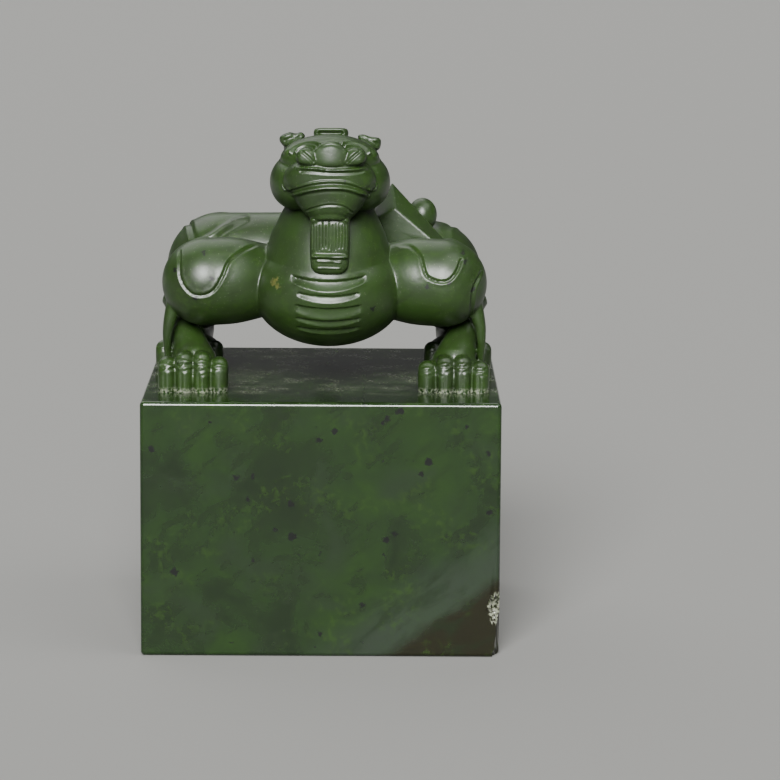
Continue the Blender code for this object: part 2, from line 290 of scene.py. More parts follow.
def boss(
    outline: Array,
    root: float,
    height: float,
    power: float = 3.0,
    bow: float = 0.0,
    lean: float = 0.0,
    back: float = 4.0,
) -> Form:
    """A cushion that stands forward on a closed outline, which is drawn in the FACE view.

    With q from 1 at the rim to 0 in the middle M of the outline O(u), side and height drawn are
    M + q * (O(u) - M), and forward is root + height * (1 - q^power)^(1 / power) - bow * (side - M)^2
    - lean * (height drawn - M). The height on the seal is the drawn one less the eye's slope times how far
    the point lies behind the face's plane. The walls go straight back from the rim.

    Args:
        outline: the outline's knots, as rows of side and height drawn.
        root: how far forward the rim lies.
        height: how far the middle stands before the rim.
        power: how square the edge is; 2 is round.
        bow: how fast it falls back towards its sides.
        lean: how fast it falls back upwards.
        back: how far its walls go back.

    Returns:
        The closed form, as (side, forward, up).
    """
    line = closed_line(outline, 8)
    middle = (line.min(axis=0) + line.max(axis=0)) / 2
    q = np.cos(np.linspace(0.0, 0.48 * math.pi, 16))[:, None]
    spread = middle + q[..., None] * (line - middle)
    rise = height * (1 - q**power) ** (1 / power)
    wrap = bow * (spread[..., 0] - middle[0]) ** 2 + lean * (spread[..., 1] - middle[1])
    forward = np.concatenate([(root - back - wrap[:1]), root + rise - wrap])
    spread = np.concatenate([spread[:1], spread])
    up = spread[..., 1] - EYE_SLOPE * (FACE_PLANE - forward)
    rings = np.stack([spread[..., 0], forward, up], axis=-1)
    tip = np.array([middle[0], root + height, middle[1] - EYE_SLOPE * (FACE_PLANE - root - height)])
    return sleeve(rings, rings[0].mean(axis=0), tip)


def mirrored(points: list[Point], side: Side, middle: float) -> list[Point]:
    """The points of a paired form, given outward from the middle, on one side."""
    return [(middle + side.value * out, forward, up) for out, forward, up in points]


# Tools that mark the surface


@dataclass(frozen=True)
class Stroke:
    """A line that a tool leaves in the surface, drawn in the figure's shares.

    Attributes:
        knots: the line's knots in the two axes of the view.
        view: the way the tool comes at the stone, which sets the two axes.
        depth: how deep it cuts, or how high it stands when negative.
        width: the half width at which the cut has fallen to about a third.
        beyond: only stone nearer to the tool than this, along its axis, is marked.
        until: only stone further from the tool than this, along its axis, is marked.
        lip: the height of the soft rim on either side, as a share of the depth.
    """

    knots: Knots
    view: View = View.FRONT
    depth: float = 0.3
    width: float = 0.3
    beyond: float = -NO_LIMIT
    until: float = NO_LIMIT
    lip: float = 0.25

    def mark(self, points: Array, normals: Array) -> Array:
        """How far each point moves along its normal.

        With d the distance to the line in the view, the move is -depth * exp(-(d / w)^2) plus a rim of
        lip * depth * exp(-((d - 1.9 w) / 0.8 w)^2). It fades where the surface turns away from the tool.

        Args:
            points: the surface's points, in shares, as (side, back, up).
            normals: their unit normals.

        Returns:
            The moves, outwards positive.
        """
        axis = np.array(self.view.value[0])
        drawn = self.view.drawn(points)
        line = smooth_line(np.array(self.knots, float), 10)
        margin = 4 * self.width
        facing, reach = normals @ axis, points @ axis
        near = np.all((drawn > line.min(axis=0) - margin) & (drawn < line.max(axis=0) + margin), axis=1)
        near &= (facing > TURNED_AWAY) & (reach > self.beyond) & (reach < self.until)
        moves = np.zeros(len(points))
        if not near.any():
            return moves
        here = drawn[near][:, None, :]
        start, run = line[:-1][None], np.diff(line, axis=0)[None]
        share = np.clip(((here - start) * run).sum(-1) / np.maximum((run**2).sum(-1), 1e-9), 0.0, 1.0)
        away = np.sqrt((((here - start) - share[..., None] * run) ** 2).sum(-1)).min(axis=1)
        cut = np.exp(-((away / self.width) ** 2))
        rim = np.exp(-(((away - 1.9 * self.width) / (0.8 * self.width)) ** 2))
        fade = np.clip((facing[near] - TURNED_AWAY) / FADE, 0.0, 1.0)
        moves[near] = fade * self.depth * (self.lip * rim - cut)
        return moves


@dataclass(frozen=True)
class Scoop:
    """A hollow across the chest that steps in at its top and slopes out to its foot, like a lapped plate.

    Attributes:
        middle: the place of its middle, across.
        foot: the height of its lower edge in the middle.
        rise: how much higher the lower edge is at its ends.
        half: its half width.
        tall: its height in the middle.
        depth: how deep the step at its top is.
        beyond: only stone further forward than this is marked.
    """

    middle: float
    foot: float
    rise: float
    half: float
    tall: float
    depth: float
    beyond: float = 12.0

    def mark(self, points: Array, normals: Array) -> Array:
        """How far each point moves along its normal.

        With s the share of the half width and t the share of the way from the top edge to the lower one, the
        move is -depth * (1 - t^2), eased in over the first tenth of t and the last tenth of s. The top edge
        bows half as much as the lower one. Just below the lower edge a bead of a fifth of the depth stands.

        Args:
            points: the surface's points, in shares, as (side, back, up).
            normals: their unit normals.

        Returns:
            The moves, outwards positive.
        """
        s = (points[:, 0] - self.middle) / self.half
        foot = self.foot + self.rise * s**2
        top = self.foot + self.tall + 0.5 * self.rise * s**2
        t = (top - points[:, 2]) / np.maximum(top - foot, 0.3)
        ends = np.clip((1 - np.abs(s)) / 0.1, 0.0, 1.0)
        front = (-points[:, 1] > self.beyond) & (normals[:, 1] < 0)
        inside = np.where((t > 0) & (t < 1), (1 - t**2) * np.clip(t / 0.1, 0.0, 1.0), 0.0)
        bead = 0.2 * np.exp(-(((t - 1.12) / 0.12) ** 2))
        return np.where(front, ends * self.depth * (bead - inside), 0.0)


# Parts of the beast. Sizes are in shares of the figure, and places are (side, forward, up)


@dataclass(frozen=True)
class Figure:
    """The figure's sides in shares, and the margins that set it on the block.

    Attributes:
        wide: its width in shares.
        long: its length in shares, from the toes of the forepaws to the rear.
        high: its height in shares.
        behind: how far its rear lies behind the block's middle, in shares.
        side_margin: bare stone on either side, in metres.
        front_margin: bare stone before the forepaws, in metres.
        back_margin: bare stone behind, in metres.
        height: its real height, in metres.
    """

    wide: float = 49.7
    long: float = 42.7
    high: float = 37.1
    behind: float = 24.5
    side_margin: float = 0.0004
    front_margin: float = 0.0070
    back_margin: float = 0.0008
    height: float = 0.0371

    def to_seal(self, block: Block) -> tuple[Array, Array]:
        """The scale and shift that carry shares, with forward turned to -Y, to metres on the block's top.

        Args:
            block: the block that carries the figure.

        Returns:
            Metres in a share along each axis, and where the figure's origin lies.
        """
        width = block.width - 2 * self.side_margin
        length = block.depth - self.front_margin - self.back_margin
        scale = np.array([width / self.wide, length / self.long, self.height / self.high])
        rear = block.depth / 2 - self.back_margin
        return scale, np.array([0.0, rear - self.behind * scale[1], block.height])


@dataclass(frozen=True)
class Trunk:
    """Chest, neck, back, a level rump, the knobs of the spine and the bands across the chest.

    Attributes:
        middle: the middle of the bands, across.
        knobs: the number of knobs on the spine.
        masses: the trunk's ellipsoids, each as its centre and radii.
        plates: each band's foot, rise at its ends, half width, height and depth.
    """

    middle: float = 0.95
    knobs: int = 8
    masses: tuple[tuple[Point, Point], ...] = (
        ((0.9, 11.6, 14.0), (10.9, 9.2, 8.0)),
        ((0.8, 10.6, 20.0), (8.5, 7.2, 6.8)),
        ((1.0, 9.8, 25.5), (6.2, 5.6, 5.5)),
        ((0.3, 2.0, 14.8), (9.0, 10.5, 6.5)),
        ((0.2, -5.0, 15.2), (9.5, 10.0, 6.6)),
    )
    plates: tuple[tuple[float, float, float, float, float], ...] = (
        (15.05, 1.20, 5.30, 1.55, 0.50),
        (13.40, 0.85, 4.50, 1.05, 0.34),
        (11.15, 0.90, 4.80, 1.50, 0.34),
        (9.95, 0.85, 4.70, 0.80, 0.30),
        (8.70, 0.65, 4.50, 0.75, 0.28),
    )

    def forms(self) -> list[Form]:
        """The trunk's masses and the spine's knobs.

        Returns:
            The closed forms, as (side, forward, up).
        """
        made = [lobe(centre, radii) for centre, radii in self.masses]
        chest = [(0.9, 10.6, 16.2), (0.85, 10.4, 19.5), (0.9, 10.1, 23.5), (1.0, 9.8, 27.0)]
        made.append(limb(chest, [9.6, 8.9, 7.4, 5.6]))
        made.append(limb([(-14.6, -12.2, 15.4), (0.2, -11.8, 15.4), (14.4, -12.4, 14.4)], [6.8, 6.8, 6.5]))
        for n in range(self.knobs):
            along = n / (self.knobs - 1)
            rise = 21.4 + 0.9 * along - 0.8 * math.sin(math.pi * along)
            made.append(lobe((0.5 - 0.3 * along, 3.0 - 21.5 * along, rise), (1.7, 1.8, 1.5)))
        return made

    def marks(self) -> list[Scoop]:
        """Five lapped plates across the chest, each hanging a little in the middle."""
        return [Scoop(self.middle, *plate) for plate in self.plates]


@dataclass(frozen=True)
class Foreleg:
    """Upper arm held out sideways, forearm, and the tufts of hair that hang from the elbow.

    Attributes:
        side: which foreleg it is.
        middle: the beast's middle, across.
        tufts: how far forward each tuft hangs, and its thickness.
    """

    side: Side
    middle: float = 0.3
    tufts: tuple[tuple[float, float], ...] = ((11.9, 0.75), (9.4, 0.85), (6.9, 0.75))

    def forms(self) -> list[Form]:
        """The arm, the forearm and three tufts.

        Returns:
            The closed forms, as (side, forward, up).
        """
        arm = [(8.0, 8.6, 15.0), (12.6, 10.2, 15.1), (16.9, 10.9, 15.0)]
        forearm = [(20.0, 7.0, 11.2), (20.2, 7.9, 8.8), (19.4, 9.7, 6.3), (18.5, 12.3, 3.7)]
        made = [
            limb(mirrored(arm, self.side, self.middle), [5.1, 6.1, 6.25]),
            limb(mirrored(forearm, self.side, self.middle), [3.4, 2.0, 2.4, 3.2]),
        ]
        foremost = self.tufts[0][0]
        for reach, thick in self.tufts:
            foot = 3.9 + 0.5 * (foremost - reach)
            tuft = [(21.2, reach - 0.3, 12.5), (22.3, reach, 8.2), (22.4, reach - 1.0, foot)]
            made.append(limb(mirrored(tuft, self.side, self.middle), [1.3, thick, 0.45]))
        return made


@dataclass(frozen=True)
class HindLeg:
    """Haunch, knee, and the low hind leg that runs back to the hock and forward again to the foot.

    Attributes:
        side: which hind leg it is.
        haunch: the haunch's centre, outward from the middle.
        radii: the haunch's radii.
        middle: the beast's middle, across.
    """

    side: Side
    haunch: Point
    radii: Point
    middle: float = 0.3

    def forms(self) -> list[Form]:
        """The haunch, the knee and the leg.

        Returns:
            The closed forms, as (side, forward, up).
        """
        leg = [(18.4, -14.5, 9.0), (19.3, -19.4, 6.4), (19.6, -18.6, 3.2), (19.6, -12.0, 2.4)]
        return [
            lobe(mirrored([self.haunch], self.side, self.middle)[0], self.radii),
            lobe(mirrored([(18.0, -3.6, 13.9)], self.side, self.middle)[0], (3.9, 4.4, 5.7)),
            limb(mirrored(leg, self.side, 0.0), [4.6, 3.0, 2.8, 2.7]),
        ]


@dataclass(frozen=True)
class Paw:
    """A paw of four bent toes.

    Attributes:
        middle: its middle, across.
        reach: how far forward the toes come.
        height: the height of its middle toes.
        width: its width.
        toes: the number of toes.
        folds: each knuckle fold's height as a share of the toe's, and its depth.
    """

    middle: float
    reach: float
    height: float
    width: float
    toes: int = 4
    folds: tuple[tuple[float, float], ...] = ((0.82, 0.10), (0.68, 0.08))

    @property
    def thick(self) -> float:
        """A toe's half width."""
        return self.width * 0.131

    def places(self) -> list[tuple[float, float]]:
        """Each toe's place across, and how much lower it is than the middle ones."""
        spread = [2 * n / (self.toes - 1) - 1 for n in range(self.toes)]
        return [(self.middle + s * (self.width * 0.5 - self.thick), 0.95 * s * s) for s in spread]

    def forms(self) -> list[Form]:
        """The paw's back and its toes.

        Returns:
            The closed forms, as (side, forward, up).
        """
        made = [lobe((self.middle, self.reach - 5.8, 1.9), (self.width * 0.45, 5.2, self.height * 0.56))]
        for side, drop in self.places():
            back = self.reach - 0.5 * drop
            top = self.height - drop - self.thick
            toe = [
                (side, back - self.thick - 3.8, top - 0.7),
                (side, back - self.thick - 1.0, top),
                (side, back - self.thick - 0.1, self.height * 0.5),
                (side, back - self.thick, 0.4),
            ]
            made.append(limb(toe, [self.thick * 0.9, self.thick, self.thick, self.thick * 0.97]))
        return made

    def marks(self) -> list[Stroke]:
        """Folds over each toe's knuckle, bowed as a parabola, and a cut between neighbouring toes.

        Returns:
            The strokes, from the front.
        """
        made = []
        places = self.places()
        for side, drop in places:
            for share, depth in self.folds:
                up = share * (self.height - drop)
                across = np.linspace(-1.0, 1.0, 7)
                bow = np.stack([side + 0.6 * self.thick * across, up + 0.25 * (1 - across**2)], axis=1)
                made.append(Stroke(bow.tolist(), depth=depth, width=0.20, beyond=self.reach - 4.0, lip=0.7))
        for (side, drop), (after, other) in zip(places, places[1:]):
            between, top = (side + after) / 2, self.height - max(drop, other)
            line = [(between, 0.2), (between, 0.5 * top), (between, 0.9 * top)]
            made.append(Stroke(line, depth=0.15, width=0.24, beyond=self.reach - 4.5, lip=0.0))
        return made


@dataclass(frozen=True)
class Tail:
    """The tail climbs the rump, crosses to the right and ends in a knob and a pointed blade by the neck."""

    def forms(self) -> list[Form]:
        """The tail, its knob and its blade.

        Returns:
            The closed forms, as (side, forward, up).
        """
        tail = [
            (0.2, -18.4, 9.0), (0.6, -20.4, 14.0), (3.2, -18.2, 20.2), (8.0, -13.2, 21.8), (11.2, -8.0, 20.8),
            (11.2, -2.6, 19.4),
        ]
        return [
            limb(tail, [2.4, 2.9, 2.7, 2.6, 2.9, 3.4]),
            lobe((14.45, -7.6, 22.6), (2.15, 2.4, 2.5)),
            self.blade(),
        ]

    def blade(self) -> Form:
        """The blade: a plate that comes to a point, whose front facet is framed by a broad bevel.

        Its rings are the outer outline at the back, the same outline at the front edge, and the crease, which
        is smaller and stands further forward. Each is sampled along straight sides.

        Returns:
            The closed form.
        """
        outlines = [
            [(7.2, -4.0, 19.0), (7.0, -3.8, 23.4), (10.2, -3.6, 26.6), (16.4, -5.4, 19.2)],
            [(7.2, 3.2, 19.0), (7.0, 2.6, 24.0), (9.9, 0.4, 28.2), (18.2, 2.2, 19.4)],
            [(8.4, 4.5, 19.3), (7.4, 4.1, 23.2), (10.3, 4.5, 24.9), (16.4, 5.6, 20.0)],
        ]
        share = np.linspace(0.0, 1.0, 24, endpoint=False)[None, :, None]
        rings = []
        for corners in (np.array(outline) for outline in outlines):
            after = np.roll(corners, -1, axis=0)
            rings.append((corners[:, None, :] * (1 - share) + after[:, None, :] * share).reshape(-1, 3))
        return sleeve(np.array(rings), rings[0].mean(axis=0), np.array([10.8, 4.72, 21.7]))


@dataclass(frozen=True)
class Head:
    """Head with its broad face, folded ears, the flat horn, the mane and the beard.

    Attributes:
        middle: the head's middle, across.
        skull: the ellipsoids of the head behind the face, each as its centre and radii.
        cheek: the ellipsoid of a cheek, outward from the middle.
        locks: the number of the mane's locks.
        hairs: the number of the beard's hairs.
    """

    middle: float = 1.05
    skull: tuple[tuple[Point, Point], ...] = (
        ((0.0, 13.4, 31.2), (7.6, 7.0, 4.8)),
        ((0.0, 15.0, 33.0), (7.0, 5.4, 3.5)),
        ((0.0, 14.4, 28.0), (5.2, 5.4, 3.4)),
    )
    cheek: tuple[Point, Point] = ((4.7, 13.6, 29.7), (3.8, 6.0, 4.0))
    locks: int = 5
    hairs: int = 11

    def masses(self) -> list[Form]:
        """The skull and both cheeks.

        Returns:
            The closed forms, as (side, forward, up).
        """
        made = [lobe((self.middle + side, forward, up), radii) for (side, forward, up), radii in self.skull]
        for side in Side:
            made.append(lobe(mirrored([self.cheek[0]], side, self.middle)[0], self.cheek[1]))
        return made

    def face(self) -> list[Form]:
        """The broad muzzle over the jaw, and the nose: a bulge between two curled wings.

        Returns:
            The closed forms, as (side, forward, up).
        """
        muzzle = [
            (0.0, 33.9), (3.2, 33.7), (5.2, 32.95), (6.4, 31.6), (6.65, 30.3), (6.35, 29.45), (5.3, 29.0),
            (2.8, 29.7), (0.0, 30.0),
        ]
        jaw = [
            (0.0, 31.6), (3.6, 31.4), (5.6, 29.9), (5.3, 28.4), (4.1, 26.5), (3.1, 25.45), (2.4, 24.9),
            (0.0, 24.7),
        ]
        bulge = [
            (0.0, 36.1), (1.0, 35.9), (1.75, 35.3), (2.5, 34.8), (3.2, 34.5), (3.1, 33.7), (2.1, 32.85),
            (0.9, 32.5), (0.0, 32.45),
        ]
        made = [
            boss(both_halves(muzzle, self.middle), 15.7, 6.8, 5.0, bow=0.028),
            boss(both_halves(jaw, self.middle + 0.1), 14.4, 8.0, 5.0, bow=0.028, lean=-0.16, back=2.0),
            boss(both_halves(bulge, self.middle + 0.2), 21.5, 1.2, 5.0, bow=0.08, lean=0.12),
        ]
        for side in Side:
            s = side.value
            wing = [
                (2.0, 34.3), (2.5, 34.95), (3.5, 35.2), (4.5, 34.75), (4.9, 33.9), (4.4, 33.05), (3.1, 32.7),
                (2.0, 32.9),
            ]
            line = np.array(wing) * np.array([s, 1.0]) + np.array([self.middle + 0.2, 0.0])
            made.append(boss(line, 21.1, 1.5, 3.6, bow=0.03, lean=0.22))
        return made

    def crown(self) -> list[Form]:
        """Two folded ears, the flat horn with its root running down the neck, and the mane's locks.

        Returns:
            The closed forms, as (side, forward, up).
        """
        ears = (
            [
                (-7.1, 36.75), (-5.9, 37.35), (-5.0, 37.2), (-4.1, 37.35), (-3.6, 36.7), (-4.6, 35.6),
                (-6.0, 35.0), (-7.1, 35.9),
            ],
            [
                (3.9, 36.9), (4.7, 37.1), (5.6, 36.8), (6.9, 36.6), (7.2, 35.95), (6.8, 34.9),
                (5.4, 34.9), (4.2, 35.8),
            ],
        )
        made = []
        for side, ear in zip(Side, ears):
            outline = np.array(ear) + np.array([self.middle, 0.0])
            made.append(boss(outline, 10.6, 1.7, 2.6, back=1.4))
            fold = [(5.3, 9.4, 34.5), (5.8, 7.6, 33.9), (5.9, 5.4, 32.6)]
            made.append(limb(mirrored(fold, side, self.middle), [1.0, 0.9, 0.5]))
        plate = [(0.0, 38.0), (1.9, 37.95), (2.4, 37.6), (2.4, 36.9), (1.9, 36.55), (0.0, 36.5)]
        made.append(boss(both_halves(plate, self.middle + 0.1), 12.4, 1.3, 4.5, back=3.0))
        horn = [(0.0, 9.6, 34.9), (0.0, 6.2, 33.0), (0.0, 4.4, 29.4), (-0.1, 3.2, 25.6)]
        made.append(limb(mirrored(horn, Side.RIGHT, self.middle), [1.4, 1.6, 1.5, 1.0]))
        for spread in np.linspace(-1.0, 1.0, self.locks).tolist():
            behind = 1.6 * (1 - abs(spread))
            lock = [
                (out * spread, forward - behind, up)
                for out, forward, up in ((4.6, 9.0, 31.6), (5.0, 5.4, 27.4), (5.4, 3.6, 23.4))
            ]
            made.append(limb(mirrored(lock, Side.RIGHT, self.middle), [1.9, 1.6, 0.8]))
        return made

    def beard(self) -> Form:
        """The beard: a flat tongue of stone that hangs from below the jaw, rounded at its end.

        Returns:
            The closed form.
        """
        half = [
            (0.0, 25.7), (2.2, 25.65), (2.75, 25.3), (2.8, 22.0), (2.72, 19.2), (2.45, 18.1), (1.6, 17.45),
            (0.0, 17.3),
        ]
        return boss(both_halves(half, self.middle + 0.05), 18.0, 3.0, 6.0)

    def forms(self) -> list[Form]:
        """All of the head."""
        return self.masses() + self.face() + self.crown() + [self.beard()]

    def line(
        self, depth: float, width: float, beyond: float, knots: Knots, until: float = NO_LIMIT
    ) -> Stroke:
        """A line on the face.

        Args:
            depth: how deep it is cut, or how high it is left standing when negative.
            width: its half width.
            beyond: only stone further forward than this is marked.
            knots: its knots, outward from the middle.
            until: only stone less far forward than this is marked.

        Returns:
            The tool's stroke. A cut line has the higher rim.
        """
        placed = [(self.middle + out, up) for out, up in knots]
        return Stroke(placed, View.FACE, depth, width, beyond, until, lip=0.15 if depth < 0 else 0.35)

    def marks(self) -> list[Stroke]:
        """The lines of brow, muzzle, lips, chin, horn, ears, beard and nose, then paired ones and hairs.

        Returns:
            The strokes, in the FACE view.
        """
        single = (
            (-0.42, 0.24, 12.0, [
                (-6.3, 34.5), (-5.2, 35.9), (-3.4, 36.5), (-0.3, 36.75), (3.5, 36.6), (5.6, 35.6),
                (6.6, 34.2),
            ]),
            (-0.26, 0.20, 18.0, [(-4.5, 32.35), (-2.0, 32.3), (0.1, 32.1), (3.5, 32.2), (5.2, 32.4)]),
            (0.10, 0.20, 18.0, [(-3.9, 31.95), (-2.0, 31.85), (0.1, 31.7), (3.3, 31.75), (4.6, 32.0)]),
            (-0.46, 0.27, 17.0, [(-5.0, 28.7), (-2.4, 29.35), (0.0, 29.65), (2.5, 29.5), (5.3, 28.6)]),
            (0.10, 0.16, 15.0, [
                (-5.9, 29.2), (-4.9, 29.15), (-2.5, 29.85), (0.0, 30.12), (2.6, 29.95), (5.2, 29.1),
                (6.1, 29.35),
            ]),
            (-0.14, 0.14, 18.0, [(-4.4, 29.75), (-2.5, 30.3), (0.0, 30.6), (2.6, 30.4), (4.6, 29.75)]),
            (0.14, 0.14, 17.0, [
                (-4.1, 27.2), (-3.6, 26.35), (-2.4, 26.7), (-0.3, 27.2), (1.8, 27.05), (3.2, 26.2),
                (3.9, 26.4),
            ]),
            (0.34, 0.26, 10.0, [(-1.4, 37.25), (1.5, 37.25)]),
            (0.24, 0.30, 10.0, [(-6.4, 36.2), (-5.4, 36.6), (-4.4, 36.7)]),
            (0.24, 0.30, 10.0, [(4.7, 36.5), (5.7, 36.25), (6.6, 35.8)]),
            (-0.28, 0.26, 17.0, [(-2.35, 25.0), (-1.3, 25.35), (0.1, 25.45), (1.4, 25.35), (2.45, 25.0)]),
            (-0.40, 0.26, 17.0, [(-2.2, 20.0), (0.1, 19.95), (2.3, 19.95)]),
            (-0.16, 0.14, 17.0, [(-1.7, 19.35), (1.6, 19.2)]),
            (-0.12, 0.12, 17.0, [(-1.6, 18.35), (1.5, 18.3)]),
            (-0.12, 0.22, 19.0, [(-1.9, 34.95), (-1.0, 35.5), (0.3, 35.75), (1.4, 35.4), (2.3, 34.8)]),
        )
        paired = (
            (-0.40, 0.18, 12.0, 20.4, 0.0, [
                (5.5, 34.4), (5.05, 35.25), (3.4, 36.0), (2.1, 35.95), (1.4, 35.6),
            ]),
            (-0.34, 0.16, 12.0, 20.4, 0.0, [
                (4.7, 34.5), (4.25, 35.05), (3.4, 35.45), (2.5, 35.45), (1.8, 35.2),
            ]),
            (0.16, 0.18, 18.0, NO_LIMIT, 0.15, [(3.95, 34.65), (3.1, 33.95), (2.4, 33.25)]),
            (-0.30, 0.22, 12.0, NO_LIMIT, 0.0, [(6.4, 30.0), (6.15, 29.45), (5.6, 29.3)]),
        )
        made = [self.line(*row) for row in single]
        for side in Side:
            for depth, width, beyond, until, shift, knots in paired:
                turned = [(side.value * out + shift, up) for out, up in knots]
                made.append(self.line(depth, width, beyond, turned, until))
        for n in range(self.hairs):
            across = self.middle + 2.3 * (2 * n / (self.hairs - 1) - 1)
            root, foot = 24.6 + 0.3 * math.sin(9.0 * n), 21.0 + 0.25 * math.sin(5.0 * n)
            hair = [(across, root), (across + 0.03, 23.0), (across, foot)]
            made.append(Stroke(hair, View.FACE, 0.11, 0.075, 17.0, lip=0.0))
        return made


@dataclass(frozen=True)
class Shoulders:
    """The lines that outline the beast's muscles on its arms, rump and haunches."""

    def marks(self) -> list[Stroke]:
        """An outline on each arm, a fold at the right elbow, a ridge on the rump, and lines behind.

        Returns:
            The strokes, from the front and from either side.
        """
        left = [
            (-20.2, 19.6), (-20.0, 16.2), (-18.6, 14.2), (-16.9, 13.8), (-15.2, 14.6),
            (-14.0, 16.6), (-13.1, 18.6), (-11.3, 19.8), (-9.2, 20.5),
        ]
        right = [
            (11.0, 20.6), (12.4, 20.5), (13.8, 19.4), (14.2, 18.2), (14.8, 16.7),
            (16.4, 16.0), (17.9, 16.2), (19.0, 17.4), (19.6, 18.8),
        ]
        rump = [(-17.9, 18.6), (-16.1, 19.6), (-14.6, 20.6), (-11.6, 21.9)]
        elbow = [(22.5, 16.9), (21.4, 14.7), (21.1, 10.7)]
        made = [
            Stroke(left, depth=0.24, width=0.20, beyond=6.0, lip=0.35),
            Stroke(right, depth=0.24, width=0.20, beyond=6.0, lip=0.35),
            Stroke(elbow, depth=0.22, width=0.20, beyond=5.0, lip=0.5),
            Stroke(rump, depth=-0.45, width=0.40, beyond=-14.0, until=0.0),
        ]
        haunch = [
            (4.6, 15.5), (7.0, 19.0), (11.5, 20.6), (16.5, 19.0), (19.2, 15.0), (18.0, 11.0), (14.5, 9.6),
        ]
        for view in (View.FROM_LEFT, View.FROM_RIGHT):
            made.append(Stroke(haunch, view, depth=0.24, width=0.24, beyond=14.0, lip=0.5))
        return made


# Meshes


def mesh_object(name: str, form: Form) -> bpy.types.Object:
    """Puts a form into a new object at the origin.

    Args:
        name: the object's name.
        form: the form, in metres.

    Returns:
        The object, linked to the scene and shaded smooth.
    """
    mesh = bpy.data.meshes.new(name)
    mesh.vertices.add(len(form.points))
    mesh.vertices.foreach_set("co", form.points.astype(np.float32).ravel())
    mesh.loops.add(form.triangles.size)
    mesh.loops.foreach_set("vertex_index", form.triangles.ravel())
    mesh.polygons.add(len(form.triangles))
    mesh.polygons.foreach_set("loop_start", np.arange(0, form.triangles.size, 3, dtype=np.int32))
    mesh.update(calc_edges=True)
    mesh.shade_smooth()
    made = bpy.data.objects.new(name, mesh)
    bpy.context.scene.collection.objects.link(made)
    return made


def evaluated(obj: bpy.types.Object) -> bpy.types.Mesh:
    """A new mesh of the object with its modifiers applied."""
    return bpy.data.meshes.new_from_object(obj.evaluated_get(bpy.context.evaluated_depsgraph_get()))


def form_of(mesh: bpy.types.Mesh) -> tuple[Form, Array]:
    """Reads a mesh as triangles.

    Args:
        mesh: the mesh.

    Returns:
        Its form, and the unit normal at each point.
    """
    mesh.calc_loop_triangles()
    points = np.empty(len(mesh.vertices) * 3, np.float32)
    mesh.vertices.foreach_get("co", points)
    triangles = np.empty(len(mesh.loop_triangles) * 3, np.int32)
    mesh.loop_triangles.foreach_get("vertices", triangles)
    normals = np.empty(len(mesh.vertices) * 3, np.float32)
    mesh.vertex_normals.foreach_get("vector", normals)
    form = Form(points.reshape(-1, 3).astype(float), triangles.reshape(-1, 3))
    return form, normals.reshape(-1, 3).astype(float)


def settle(obj: bpy.types.Object) -> None:
    """Applies the object's modifiers to its mesh.

    Args:
        obj: the object, whose modifiers are then gone.
    """
    mesh = evaluated(obj)
    old = obj.data
    obj.modifiers.clear()
    obj.data = mesh
    bpy.data.meshes.remove(old)


def drop(obj: bpy.types.Object) -> None:
    """Removes a helper object and its mesh.

    Args:
        obj: the helper.
    """
    mesh = obj.data
    bpy.data.objects.remove(obj)
    bpy.data.meshes.remove(mesh)


@dataclass(frozen=True)
class Skin:
    """How finely one skin of the carving is made.

    Attributes:
        meld: the grid on which overlapping forms meld, in metres.
        polish: the number of smoothing steps before the marks.
        triangles: about how many triangles are kept.
        rub: the number of smoothing steps after the marks.
    """

    meld: float
    polish: int
    triangles: int
    rub: int = 3

    def carve(
        self, name: str, forms: list[Form], marks: list[Stroke | Scoop], scale: Array, shift: Array
    ) -> bpy.types.Object:
        """Melds forms into one closed skin, puts the tool marks on it and thins its triangles.

        Args:
            name: the object's name.
            forms: the forms, in shares as (side, forward, up).
            marks: the tool marks, in shares.
            scale: metres in a share, along X, Y and Z.
            shift: where the figure's own origin lies on the seal.

        Returns:
            The skin's object, in metres.
        """
        whole = join(forms)
        flipped = whole.points * np.array([1.0, -1.0, 1.0])
        skin = mesh_object(name, Form(flipped * scale + shift, whole.triangles[:, ::-1]))
        meld = skin.modifiers.new("Meld", "REMESH")
        meld.mode = "VOXEL"
        meld.voxel_size = self.meld
        polish = skin.modifiers.new("Polish", "SMOOTH")
        polish.factor = 0.5
        polish.iterations = self.polish
        settle(skin)
        form, normals = form_of(skin.data)
        shares = (form.points - shift) / scale
        move = np.zeros(len(shares))
        for mark in marks:
            move += mark.mark(shares, normals)
        marked = mesh_object(name, Form(form.points + normals * (move * MM)[:, None], form.triangles))
        drop(skin)
        rub = marked.modifiers.new("Rub", "SMOOTH")
        rub.factor = 0.4
        rub.iterations = self.rub
        thin = marked.modifiers.new("Thin", "DECIMATE")
        thin.ratio = min(1.0, self.triangles / len(form.triangles))
        settle(marked)
        LOG.info("%s: %d triangles melded, %d kept", name, len(form.triangles), len(marked.data.polygons))
        return marked


class Detail(Enum):
    """Skins for the body and the head: FULL for the final piece and QUICK for trial views."""

    FULL = (Skin(0.00013, 7, 106000), Skin(0.00009, 6, 91000))
    QUICK = (Skin(0.00030, 2, 100000), Skin(0.00020, 2, 60000))


